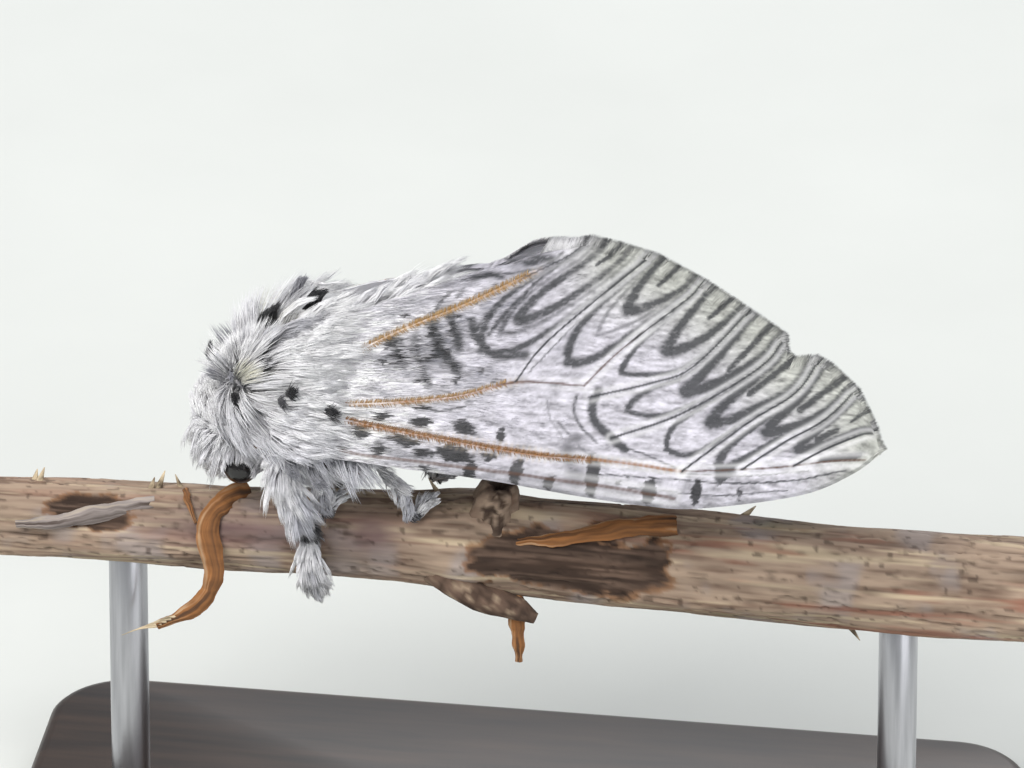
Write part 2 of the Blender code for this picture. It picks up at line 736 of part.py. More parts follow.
def abdomen_axis(share):
    """Middle of the abdomen at a share of its length."""
    return Vector((ABDOMEN_FRONT + ABDOMEN_LENGTH * share, 0.0,
                   ABDOMEN_HEIGHT - 0.9 * share + 0.3 * math.sin(math.pi * share)))


def abdomen_tube(name, spare, shares):
    """The abdomen's body, or with spare the room that it takes."""
    path = [abdomen_axis(share) for share in shares]
    if spare:
        path[0] = path[0] - Vector((spare, 0, 0))
    radii = [abdomen_profile(share) * (1.0 if index else 0.93) + spare
             for index, share in enumerate(shares)]
    return tube(name, path, radii, 14)


def abdomen():
    """The ringed abdomen between the wings, with a tuft at its end."""
    shares = [index / (3 * SEGMENT_COUNT) for index in range(3 * SEGMENT_COUNT + 1)]
    solid = abdomen_tube("abdomen", 0.0, shares)
    rng = random.Random(SEED + 2)
    tuft = []
    count = 6
    for index in range(count):
        angle = 2 * math.pi * index / count
        outward = Vector((0, math.cos(angle), math.sin(angle)))
        root = abdomen_axis(0.9) + outward * 0.9
        middle = abdomen_axis(1.0) + outward * 1.5
        tip = abdomen_axis(1.08) + outward * rng.uniform(0.8, 1.3) + Vector((0.6, 0, 0))
        tuft.append(lock(root, middle, tip, outward, 1.7, 0.7))
    return combine(solid, tuft, "UNION")


def on_thorax(centre, radii, direction):
    """A point of the thorax, two lobes with a furrow along the middle of the back."""
    point = on_shell(centre, radii, direction)
    if direction.z > 0:
        depth = FURROW * math.exp(-(direction.y / FURROW_WIDTH) ** 2)
        point.z -= radii[2] * direction.z * depth
    return point


def shell_lock(shell, centre, core, coat, direction, lie, width, rng):
    """A lock from a shell's core out to its coat, leaning along the lie."""
    root = on_shell(centre, core * 0.75, direction)
    middle = shell(centre, core * 0.25 + coat * 0.75, unit(direction + lie * 0.3))
    tip = shell(centre, coat * rng.uniform(0.93, 1.0), unit(direction + lie))
    facing = unit(direction.lerp(unit(direction + lie), 0.5))
    return lock(root, middle, tip, facing, width * rng.uniform(0.85, 1.15), LOCK_THICKNESS)


def body_locks(rng):
    """Locks round the front, top and underside of the thorax, lying back along it."""
    locks = []
    for direction in spread_directions(THORAX_LOCKS):
        beside_wing = direction.x > -0.42 and direction.z > -0.42 and abs(direction.y) > 0.3
        behind = direction.x > 0.62
        if beside_wing or behind:
            continue
        lie = Vector((0.75, 0.0, 0.25 if direction.z > 0 else -0.35))
        locks.append(shell_lock(on_thorax, THORAX_CENTRE, THORAX_CORE, THORAX_COAT, direction,
                                lie, LOCK_WIDTH, rng))
    return locks


def saddle_locks(rng):
    """Locks that rise from the back of the thorax over the ridge where the wings meet."""
    locks = []
    for y in SADDLE_SIDES:
        root = Vector((-10.4, 0.6 * y, 12.4))
        middle = Vector((-9.6, y, 16.4))
        tip = Vector((-6.6 + rng.uniform(-0.3, 0.3), 0.8 * y, 18.0 - 0.25 * abs(y)))
        locks.append(lock(root, middle, tip, Vector((-0.5, 0, 1)), LOCK_WIDTH, LOCK_THICKNESS))
    return locks


def shoulder_locks(side, rng):
    """Locks that sweep back from the shoulder over the forewing's base, in two tiers."""
    locks = []
    for tier, (reach, lift) in enumerate(SHOULDER_TIERS):
        for row in range(SHOULDER_ROWS):
            q = -1.2 + SHOULDER_STEP * (row + 0.5 * tier)
            ahead = wing_point(-1.0 - 0.8 * tier, q, 0.0) - THORAX_CENTRE
            direction = unit([ahead[axis] / THORAX_CORE[axis] for axis in range(3)])
            root = on_shell(THORAX_CENTRE, THORAX_CORE * 0.75, direction)
            middle = wing_point(-0.6 * tier, q, lift + 0.35)
            tip = wing_point(reach + 0.34 * q + rng.uniform(-0.4, 0.4), q, lift)
            facing = wing_point(1.0, q, 2.0) - wing_point(1.0, q, 0.0)
            points = mirrored([root, middle, tip, facing], side)
            locks.append(lock(*points[:3], unit(points[3]), LOCK_WIDTH * 0.9, LOCK_THICKNESS))
    return locks


def thorax_rooms():
    """What the thorax leaves free: head, wings, abdomen, legs, eyes and feelers."""
    spare = Vector((GAP, GAP, GAP))
    rooms = [ellipsoid("neck_room", NECK_CENTRE, NECK_REACH + spare, 20, 12)]
    rooms.append(abdomen_tube("abdomen_room", GAP, [0.0, 0.1, 0.2, 0.4]))
    for side in (-1, 1):
        rooms.append(wing_clearance(side))
        rooms.append(feeler_room(side))
        rooms.append(eye("eye_room", side, GAP))
        for kind in LIMBS:
            rooms.append(limb(kind, side, GAP))
    return rooms


def thorax():
    """The thorax with its coat, cleared of the parts that grow from it."""
    rng = random.Random(SEED)
    solid = ellipsoid("thorax", THORAX_CENTRE, THORAX_CORE, 20, 12)
    locks = body_locks(rng) + saddle_locks(rng)
    for side in (-1, 1):
        locks += shoulder_locks(side, rng)
    solid = combine(solid, locks, "UNION", "MANIFOLD")
    solid = combine(solid, thorax_rooms(), "DIFFERENCE", "MANIFOLD")
    keep_largest(solid)
    return solid


def eye(name, side, spare=0.0):
    """One eye as a dome, or with spare its socket."""
    centre = Vector((EYE_CENTRE.x, EYE_CENTRE.y * -side, EYE_CENTRE.z))
    reach = EYE_RADIUS + spare
    return ellipsoid(name, centre, (reach, reach, reach), 14, 9)


def head_locks(rng):
    """Locks over the face: up and forwards on the brow, down on the cheeks and chin."""
    locks = []
    for direction in spread_directions(HEAD_LOCKS):
        eyes = [unit((0.4, side * 0.8, -0.6)) for side in (-1, 1)]
        if direction.x > 0.35 or max(direction.dot(eye_way) for eye_way in eyes) > 0.86:
            continue
        lie = Vector((-0.2, 0.0, 0.55 if direction.z > 0.15 else -0.6))
        locks.append(shell_lock(on_shell, HEAD_CENTRE, HEAD_CORE, HEAD_COAT, direction, lie,
                                HEAD_LOCK_WIDTH, rng))
    return locks


def palps(side):
    """One of the two short furry feelers under the face."""
    path = mirrored([(-18.0, -0.7, 6.4), (-18.9, -0.8, 5.6), (-19.6, -0.8, 5.3)], side)
    return tube("palp", path, [0.5, 0.5, 0.3], 7)


def head():
    """The head, cleared of eyes and feelers and parted from the thorax."""
    rng = random.Random(SEED + 1)
    solid = ellipsoid("head", HEAD_CENTRE, HEAD_CORE, 16, 10)
    solid = combine(solid, head_locks(rng) + [palps(-1), palps(1)], "UNION", "MANIFOLD")
    limits = [ellipsoid("neck", NECK_CENTRE, NECK_REACH, 20, 12)]
    solid = combine(solid, limits, "INTERSECT", "MANIFOLD")
    rooms = []
    for side in (-1, 1):
        rooms.append(eye("socket", side, GAP))
        rooms.append(feeler_room(side))
    return combine(solid, rooms, "DIFFERENCE", "MANIFOLD")


# Finish

COLOURS = {
    "fur": ((0.72, 0.70, 0.68, 1), 0.9, 0.0),
    "wing": ((0.66, 0.66, 0.66, 1), 0.75, 0.0),
    "eye": ((0.01, 0.01, 0.012, 1), 0.12, 0.0),
    "feeler": ((0.12, 0.09, 0.07, 1), 0.7, 0.0),
    "bark": ((0.30, 0.22, 0.16, 1), 0.85, 0.0),
    "base": ((0.06, 0.05, 0.045, 1), 0.35, 0.0),
    "rod": ((0.6, 0.6, 0.62, 1), 0.3, 1.0),
}


def material_for(kind, name):
    """A surface of the named kind, one to each node."""
    colour, roughness, metallic = COLOURS[kind]
    material = bpy.data.materials.new(f"{name}_{kind}")
    material.use_nodes = True
    shader = material.node_tree.nodes["Principled BSDF"]
    shader.inputs["Base Color"].default_value = colour
    shader.inputs["Roughness"].default_value = roughness
    shader.inputs["Metallic"].default_value = metallic
    material.diffuse_color = colour
    return material


def finish_node(solid, kind):
    """Keeps one closed body, lifts it over the stand, turns it into metres and colours it."""
    keep_largest(solid)
    solid.data.transform(Matrix.Translation((0, 0, BRANCH_HEIGHT)))
    solid.data.transform(Matrix.Scale(MM, 4))
    solid.data.materials.clear()
    solid.data.materials.append(material_for(kind, solid.name))
    solid.data.shade_smooth()
    solid.data.set_sharp_from_angle(angle=math.radians(40))


def clear_scene():
    """Removes everything that the file starts with."""
    for item in list(bpy.data.objects):
        bpy.data.objects.remove(item)


def main():
    clear_scene()
    nodes = [(branch(), "bark"), (base(), "base"), (thorax(), "fur"), (head(), "fur"),
             (abdomen(), "fur")]
    for side in (-1, 1):
        side_name = "left" if side < 0 else "right"
        nodes.append((rod(f"stand_rod_{side_name}", side, 0.0), "rod"))
        nodes.append((forewing(side), "wing"))
        nodes.append((hindwing(side), "wing"))
        nodes.append((eye(f"eye_{side_name}", side), "eye"))
        nodes.append((feeler(side), "feeler"))
        for kind in LIMBS:
            nodes.append((furry_limb(kind, side), "fur"))
    for solid, kind in nodes:
        finish_node(solid, kind)


main()
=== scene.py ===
"""Dresses the puss moth model: veined wings, layered coat, eyes, feelers, bark and stand.

Shapes are worked out in millimetres from the branch's axis, as in the part's source, and
place() lifts them over the stand and turns them into metres.
"""

import math

import bpy
import numpy as np
from mathutils import Matrix


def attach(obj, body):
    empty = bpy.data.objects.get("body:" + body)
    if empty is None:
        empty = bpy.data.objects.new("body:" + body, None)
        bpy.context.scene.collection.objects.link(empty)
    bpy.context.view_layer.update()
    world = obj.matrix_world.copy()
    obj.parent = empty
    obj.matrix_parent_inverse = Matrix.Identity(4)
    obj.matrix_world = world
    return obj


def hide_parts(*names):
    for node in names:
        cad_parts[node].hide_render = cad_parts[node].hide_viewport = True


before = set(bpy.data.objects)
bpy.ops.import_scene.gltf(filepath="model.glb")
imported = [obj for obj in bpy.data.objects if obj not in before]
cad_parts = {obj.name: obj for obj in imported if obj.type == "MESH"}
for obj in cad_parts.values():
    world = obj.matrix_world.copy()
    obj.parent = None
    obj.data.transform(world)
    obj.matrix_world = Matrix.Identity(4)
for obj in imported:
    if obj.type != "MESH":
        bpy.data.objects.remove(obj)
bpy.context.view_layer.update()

MM = 0.001
BODY = "root"
PAINT = "paint"
SEED = 11
SIDES = {-1: "left", 1: "right"}

# Branch and stand
BRANCH_HALF = 36.0
BRANCH_HEIGHT = 22.0
BRANCH_THIN = 2.45
BRANCH_THICK = 3.25
BRANCH_BOW = 0.65
BARK_DEPTH = 0.3
BARK_LOSS = [(-2.2, 10.6, 32, 123), (-29.0, -22.6, 20, 75)]
BASE_LENGTH = 62.0
BASE_DEPTH = 30.0
BASE_THICKNESS = 3.0
ROD_RADIUS = 1.2
ROD_SPREAD = 24.0

# Wings: root, tip and inner corner, the far one given as if on the left
NEAR_WING = np.array([(-12.8, -5.25, 10.9), (24.0, -7.75, 13.2), (5.4, -0.5, 23.1)])
FAR_WING = np.array([(-15.3, -6.4, 10.7), (21.4, -4.2, 7.0), (4.0, -1.05, 20.3)])
WING_REACH = 37.0
CAMBER = 0.9
CURL_ANGLE = math.radians(60)
CURL_LENGTH = 3.0
CURL_FADE = 5.0
CURL_TO = 18.0
CURL_DEPTH = 2.0
RIDGE_LOW = 5.9
RIDGE_SLOPE = 0.35
COSTA_LINE = -1.5
COSTA_DROOP = 0.1
FRINGE = 0.34

# Body
THORAX_CENTRE = np.array([-12.3, 0.0, 10.7])
THORAX_CORE = np.array([5.2, 4.5, 3.7])
THORAX_COAT = np.array([6.5, 6.1, 6.1])
FURROW = 0.32
FURROW_WIDTH = 0.3
HEAD_CENTRE = np.array([-17.4, 0.0, 7.9])
HEAD_CORE = np.array([2.1, 2.3, 2.6])
HEAD_COAT = np.array([2.9, 3.3, 4.0])
EYE_CENTRE = np.array([-16.5, -2.15, 5.95])
EYE_RADIUS = 1.1
ABDOMEN_FRONT = -7.4
ABDOMEN_LENGTH = 19.0
ABDOMEN_RADIUS = 4.1
ABDOMEN_HEIGHT = 10.3
SEGMENT_COUNT = 8
ABDOMEN_COAT = 0.32

# Legs and feelers, as paths on the left side, with feet as (x, degrees round the branch)
LIMBS = {
    "fore": ([(-13.0, -1.8, 8.4), (-13.5, -3.4, 8.1), (-13.6, -4.8, 7.2), (-13.0, -5.2, 5.8),
              (-12.5, -5.0, 4.3)], [(-12.2, 62), (-12.0, 86), (-11.8, 112), (-11.6, 138)], 0.62),
    "mid": ([(-11.0, -1.8, 7.6), (-11.3, -3.3, 6.6), (-11.3, -3.5, 5.4)],
            [(-11.2, 42), (-10.9, 30), (-10.3, 20)], 0.5),
    "hind": ([(-8.9, -1.6, 7.4), (-7.2, -2.9, 6.2), (-6.2, -3.1, 5.2)],
             [(-5.8, 42), (-5.2, 30), (-4.4, 22)], 0.48),
}
FEELER_PATH = [(-17.6, -1.5, 8.9), (-16.9, -3.0, 8.9), (-15.4, -4.6, 8.8),
               (-13.4, -5.4, 8.7), (-11.0, -5.8, 8.4), (-8.2, -5.9, 8.0)]
COMB_LENGTH = 0.75

# Wing edges and veins in (p, q): p along the wing from its root, q up it
COSTA = [(0.2, -0.8), (1.9, -2.0), (5.2, -2.4), (12.2, -3.0), (17.9, -3.7), (22.1, -4.1),
         (25.5, -4.1), (31.8, -3.0), (35.1, -1.5), (37.0, 0.1)]
BASE_NEAR = [(0.0, 0.8), (0.5, 2.4), (1.5, 4.2), (2.5, 5.8), (3.4, 6.9)]
BASE_FAR = [(0.0, 0.8), (0.5, 1.8), (1.5, 3.0), (2.5, 4.0), (3.4, 4.8)]
UPPER_NEAR = [(5.4, 7.9), (8.8, 9.1), (12.5, 10.6), (15.4, 11.6), (18.2, 12.2), (19.8, 11.9),
              (22.3, 11.3), (25.5, 9.8), (28.3, 8.2), (30.68, 6.75), (30.8, 5.75), (31.2, 5.45),
              (32.6, 5.6), (33.4, 5.2), (35.2, 3.7), (36.4, 1.5), (36.6, 0.8), (37.0, 0.1)]
UPPER_FAR = [(5.4, 6.0), (8.8, 7.6), (12.5, 10.4), (14.2, 12.8), (15.6, 13.6), (18.2, 13.6),
             (19.8, 13.0), (22.3, 11.6), (25.5, 9.8), (28.3, 8.2), (30.9, 6.8), (33.2, 5.5),
             (35.2, 3.6), (36.3, 1.6), (37.0, 0.1)]
MARGIN_START = 12.5
FRINGE_SPOTS = (13.8, 15.3, 18.0, 19.2)
VEINS = {
    "subcosta": [(0.5, -0.7), (3.3, -1.7), (8.0, -2.1), (13.0, -2.5), (19.0, -3.1), (24.0, -3.6)],
    "radius": [(0.4, 0.3), (3.7, -0.3), (9.0, -1.0), (15.2, -1.7), (19.6, -1.9), (24.1, -2.3)],
    "radius_end": [(24.1, -2.3), (27.8, -2.0), (31.0, -1.6), (35.8, -0.6)],
    "radius_four": [(31.0, -1.6), (33.1, -0.4), (36.0, 0.9)],
    "radius_five": [(27.8, -2.0), (30.4, -0.2), (32.8, 1.3), (35.0, 3.6)],
    "cubitus": [(0.3, 1.0), (3.5, 0.8), (9.7, 1.5), (13.6, 2.6), (17.9, 2.6)],
    "cubitus_two": [(13.6, 2.6), (15.5, 5.2), (20.4, 9.7), (21.9, 11.1)],
    "cubitus_one": [(17.9, 2.6), (20.1, 4.9), (24.0, 8.2), (25.2, 9.6)],
    "cross": [(17.9, 2.6), (18.4, 1.2), (19.7, -0.5), (22.7, -1.6), (24.1, -2.3)],
    "medial_three": [(18.2, 1.9), (22.2, 3.0), (24.6, 4.1), (28.1, 7.9)],
    "medial_two": [(19.7, -0.5), (24.0, 1.2), (28.5, 4.1), (30.3, 6.2)],
    "medial_one": [(24.1, -2.3), (28.3, 1.0), (30.9, 2.8), (32.7, 5.3)],
    "anal": [(0.6, 2.0), (3.6, 4.0), (6.4, 5.5), (11.1, 7.6), (16.2, 10.4), (17.8, 11.7)],
}


def srgb(red, green, blue):
    """A colour as seen, from 0 to 255, as linear light."""
    linear = []
    for value in (red, green, blue):
        share = value / 255
        linear.append(share / 12.92 if share <= 0.04045 else ((share + 0.055) / 1.055) ** 2.4)
    return np.array(linear)


# Colours of the moth
WHITE = srgb(252, 251, 253)
CREAM = srgb(236, 233, 214)
PALE_GREY = srgb(200, 200, 209)
GREY = srgb(108, 109, 120)
BLACK = srgb(20, 20, 24)
WING_BASE = srgb(232, 230, 235)
WING_MIDDLE = srgb(188, 185, 194)
WING_OUTER = srgb(168, 169, 163)
LINE_GREY = srgb(42, 44, 48)
VEIN_ORANGE = srgb(142, 92, 30)
VEIN_YELLOW = srgb(166, 124, 60)
VEIN_PINK = srgb(166, 124, 66)
VEIN_BROWN = srgb(82, 56, 42)


# Numbers

def unit(vectors):
    """Vectors at length one."""
    vectors = np.asarray(vectors, float)
    return vectors / np.maximum(np.linalg.norm(vectors, axis=-1, keepdims=True), 1e-9)


def together(*values):
    """Values that belong to the same points, side by side."""
    return np.stack(np.broadcast_arrays(*values), axis=-1)


def smoothstep(low, high, value):
    """Rises smoothly from none at low to one at high."""
    share = np.clip((value - low) / (high - low), 0.0, 1.0)
    return share * share * (3 - 2 * share)


def bell(value, width):
    """One at zero, falling smoothly away over the width."""
    return np.exp(-(value / width) ** 2)


def mix(first, second, share):
    """First towards second by share, for each point of an array."""
    return first + (second - first) * np.asarray(share)[..., None]


def smooth_path(points, steps):
    """Catmull-Rom points through the given ones, steps to each stretch."""
    points = np.asarray(points, float)
    padded = np.vstack([2 * points[0] - points[1], points, 2 * points[-1] - points[-2]])
    last = len(points) - 1
    before, start, end, after = (padded[first:first + last, None] for first in range(4))
    t = (np.arange(steps) / steps)[:, None]
    path = 0.5 * (2 * start + (end - before) * t
                  + (2 * before - 5 * start + 4 * end - after) * t * t
                  + (3 * start - before - 3 * end + after) * t ** 3)
    return np.vstack([path.reshape(-1, points.shape[1]), points[-1]])


def lattice(cells, seed):
    """A fixed value from -1 to 1 for each whole-numbered cell."""
    mixed = np.full(cells.shape[0], 374761393 * (seed + 1), np.int64)
    for axis, prime in enumerate((73856093, 19349663, 83492791)[:cells.shape[1]]):
        mixed ^= cells[:, axis] * prime
    for prime in (2246822519, 3266489917):
        mixed = (mixed ^ (mixed >> 15)) * prime & 0xFFFFFFFF
    return (mixed & 0xFFFFFF) / float(0x7FFFFF) - 1.0


def noise(points, seed=0):
    """Smooth value noise from -1 to 1 at points of two or three dimensions."""
    points = np.asarray(points, float)
    whole = np.floor(points).astype(np.int64)
    part = points - whole
    part = part * part * (3 - 2 * part)
    total = np.zeros(len(points))
    dimensions = points.shape[1]
    for corner in range(2 ** dimensions):
        offset = np.array([(corner >> axis) & 1 for axis in range(dimensions)])
        weight = np.prod(np.where(offset, part, 1 - part), axis=1)
        total += weight * lattice(whole + offset, seed)
    return total


def layered(points, octaves, seed=0):
    """Several scales of noise on top of each other."""
    total = np.zeros(len(points))
    for octave in range(octaves):
        total += noise(np.asarray(points) * 2.0 ** octave, seed + octave) * 0.5 ** octave
    return total / (2 - 0.5 ** (octaves - 1))


def sway(points, scale, octaves, seed):
    """A vector for each point, drifting smoothly over space."""
    return together(*[layered(points * scale, octaves, seed + axis) for axis in range(3)])


def line_distance(points, line):
    """Distance to a polyline, which side of it (positive to its left) and how far along it."""
    best = np.full(len(points), 1e9)
    side = np.ones(len(points))
    along = np.zeros(len(points))
    passed = 0.0
    for start, end in zip(line, line[1:]):
        run = end - start
        length = float(np.linalg.norm(run))
        t = np.clip((points - start) @ run / length ** 2, 0, 1)
        away = points - start - t[:, None] * run
        distance = np.linalg.norm(away, axis=1)
        near = distance < best
        best[near] = distance[near]
        along[near] = passed + t[near] * length
        if points.shape[1] == 2:
            turn = run[0] * away[:, 1] - run[1] * away[:, 0]
            side[near] = np.sign(turn[near])
        passed += length
    return best, side, along


# Meshes

def place(points):
    """Millimetres from the branch's axis as metres in the frame."""
    return (np.asarray(points, float) + (0.0, 0.0, BRANCH_HEIGHT)) * MM


def add_paint(mesh, colours):
    """Gives each point of a mesh its colour."""
    values = np.ones((len(colours), 4), np.float32)
    values[:, :3] = np.clip(colours, 0, 1)
    layer = mesh.attributes.new(PAINT, "FLOAT_COLOR", "POINT")
    layer.data.foreach_set("color", values.ravel())


def make_mesh(name, points, quads, triangles, colours=None, uv=None, uv_name="UVMap"):
    """A smooth mesh object from arrays, with a colour and a UV place for each point."""
    mesh = bpy.data.meshes.new(name)
    quads = np.asarray(quads, np.int32).reshape(-1, 4)
    triangles = np.asarray(triangles, np.int32).reshape(-1, 3)
    corners = np.concatenate([quads.ravel(), triangles.ravel()])
    totals = np.concatenate([np.full(len(quads), 4), np.full(len(triangles), 3)])
    starts = np.concatenate([[0], np.cumsum(totals)[:-1]])
    mesh.vertices.add(len(points))
    mesh.vertices.foreach_set("co", place(points).astype(np.float32).ravel())
    mesh.loops.add(len(corners))
    mesh.loops.foreach_set("vertex_index", corners)
    mesh.polygons.add(len(totals))
    mesh.polygons.foreach_set("loop_start", starts.astype(np.int32))
    mesh.update(calc_edges=True)
    mesh.validate()
    if colours is not None:
        add_paint(mesh, colours)
    if uv is not None:
        uv_layer = mesh.uv_layers.new(name=uv_name)
        uv_layer.data.foreach_set("uv", np.asarray(uv, np.float32)[corners].ravel())
    mesh.shade_smooth()
    thing = bpy.data.objects.new(name, mesh)
    bpy.context.scene.collection.objects.link(thing)
    return thing


def grid_quads(rows, columns, wrap=False, first=0):
    """Faces over a grid of rows by columns of points, closed round if wrapped."""
    row = np.arange(rows - 1)[:, None]
    column = np.arange(columns if wrap else columns - 1)[None, :]
    after = (column + 1) % columns
    low = row * columns + first
    return together(low + column, low + after, low + columns + after,
                    low + columns + column).reshape(-1, 4)


def lofted(rings, ends):
    """Rings of points, skinned and closed at both ends round the end points, as a shape."""
    count, sides = np.shape(rings)[:2]
    around = np.arange(sides)
    after = (around + 1) % sides
    low = (count - 1) * sides
    first = together(after, around, count * sides)
    last = together(low + around, low + after, count * sides + 1)
    return (np.vstack([*rings, ends]), grid_quads(count, sides, wrap=True),
            np.vstack([first, last]))


def sweep(path, radii, sides, flat=1.0, facing=(0.3, 0.9, 0.2)):
    """A tube round a path, as a shape: its points, quads and triangles."""
    path = np.asarray(path, float)
    along = unit(np.gradient(path, axis=0))
    rings = []
    across = unit(np.cross(along[0], facing))
    angles = 2 * np.pi * np.arange(sides) / sides
    for centre, ahead, radius in zip(path, along, radii):
        across = unit(across - ahead * (across @ ahead))
        up = np.cross(ahead, across)
        ring = np.outer(np.cos(angles), across) + np.outer(np.sin(angles), up) * flat
        rings.append(centre + radius * ring)
    return lofted(rings, path[[0, -1]])


def join(shapes):
    """Several (points, quads, triangles) as one."""
    points, quads, triangles = [], [], []
    count = 0
    for shape in shapes:
        points.append(shape[0])
        quads.append(np.asarray(shape[1]).reshape(-1, 4) + count)
        triangles.append(np.asarray(shape[2], int).reshape(-1, 3) + count)
        count += len(shape[0])
    return np.vstack(points), np.vstack(quads), np.vstack(triangles)


def dress(thing, material, slot, *nodes):
    """Gives a piece its material, hangs it on the body and lets it replace nodes; its slot is not
    used.
    """
    thing.data.materials.append(material)
    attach(thing, BODY)
    if nodes:
        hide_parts(*nodes)


# Wing surface

def wing_axes(side):
    """A wing's root, and unit vectors along it, up it and out of it, as on the left side."""
    root, apex, tornus = NEAR_WING if side < 0 else FAR_WING
    along = unit(apex - root)
    span = tornus - root
    up = unit(span - along * (span @ along))
    return root, along, up, np.cross(along, up)


def wing_place(p, q, lift, side):
    """Points p along and q up the wing of one side, lifted off its sheet."""
    p, q, lift = np.broadcast_arrays(np.asarray(p, float), q, lift)
    root, along, up, out = wing_axes(side)
    share = np.clip((CURL_TO - p) / CURL_FADE, 0, 1)
    start = RIDGE_LOW + RIDGE_SLOPE * p - CURL_DEPTH * share
    over = np.maximum(q - start, 0.0)
    angle = CURL_ANGLE * share * over / CURL_LENGTH
    safe = np.maximum(angle, 1e-6)
    curled = angle > 0.01
    height = np.where(curled, start + over / safe * np.sin(safe), q)
    depth = np.where(curled, -over / safe * (1 - np.cos(safe)), 0.0)
    fullness = np.sin(np.pi * np.clip(p / WING_REACH, 0, 1))
    depth = depth + CAMBER * fullness * np.cos(0.5 * np.pi * np.minimum(abs(q - 4.0) / 8.5, 1))
    depth = depth - COSTA_DROOP * np.minimum(q - COSTA_LINE, 0.0) ** 2
    normal = out * np.cos(angle)[..., None] + up * np.sin(angle)[..., None]
    points = (root + along * p[..., None] + up * height[..., None]
              + out * depth[..., None] + normal * lift[..., None])
    if side > 0:
        points = points * (1, -1, 1)
    return points


def wing_edges(side):
    """The wing's lower and upper edge as smooth lines of rising p."""
    upper = BASE_NEAR + UPPER_NEAR if side < 0 else BASE_FAR + UPPER_FAR
    return smooth_path(COSTA, 6), np.array(upper)


def marking_shift(points):
    """How far the markings move along and up the wing, fading out at its edges."""
    lower, upper = wing_edges(-1)
    p, q = points.T
    room = np.minimum(q - np.interp(p, *lower.T), np.interp(p, *upper.T) - q)
    return smoothstep(0.0, 2.2, room)[:, None] * MARKING_SHIFT


def drawn_veins():
    """Every vein as a smooth flat line, where the markings are drawn."""
    return {name: smooth_path(points, 5) for name, points in VEINS.items()}


def vein_lines():
    """Every vein as a smooth flat line, where it lies on the wing."""
    return {name: line + marking_shift(line) for name, line in drawn_veins().items()}


# Wing pattern

# Vein name: colour, half width, where along p it starts and ends, strength, beading
VEIN_PAINT = [
    ("radius", VEIN_ORANGE, 0.16, 3.4, 16.0, 1.0, 0.35),
    ("radius", VEIN_ORANGE, 0.09, 14.0, 27.0, 0.85, 0.3),
    ("radius_end", VEIN_BROWN, 0.055, 22.0, 36.0, 0.9, 0.2),
    ("anal", VEIN_YELLOW, 0.13, 4.4, 14.5, 0.95, 0.5),
    ("anal", LINE_GREY, 0.055, 13.5, 18.0, 0.8, 0.0),
    ("cubitus", VEIN_PINK, 0.13, 3.0, 8.0, 0.55, 0.5),
    ("cubitus", VEIN_ORANGE, 0.11, 6.0, 14.0, 0.85, 0.5),
    ("cubitus", VEIN_BROWN, 0.065, 12.5, 18.2, 0.9, 0.1),
    ("cubitus_one", VEIN_BROWN, 0.06, 17.7, 22.0, 0.9, 0.2),
    ("cubitus_one", LINE_GREY, 0.06, 20.5, 26.0, 0.95, 0.0),
    ("cubitus_two", LINE_GREY, 0.06, 13.0, 22.5, 0.95, 0.0),
    ("medial_three", LINE_GREY, 0.06, 18.0, 29.0, 0.95, 0.0),
    ("medial_two", LINE_GREY, 0.065, 19.0, 31.0, 0.95, 0.0),
    ("medial_one", LINE_GREY, 0.065, 23.5, 33.0, 0.95, 0.0),
    ("radius_five", LINE_GREY, 0.065, 27.0, 36.0, 0.95, 0.0),
    ("radius_four", LINE_GREY, 0.065, 30.5, 36.5, 0.95, 0.0),
    ("subcosta", VEIN_BROWN, 0.07, 1.0, 24.5, 0.8, 0.2),
]

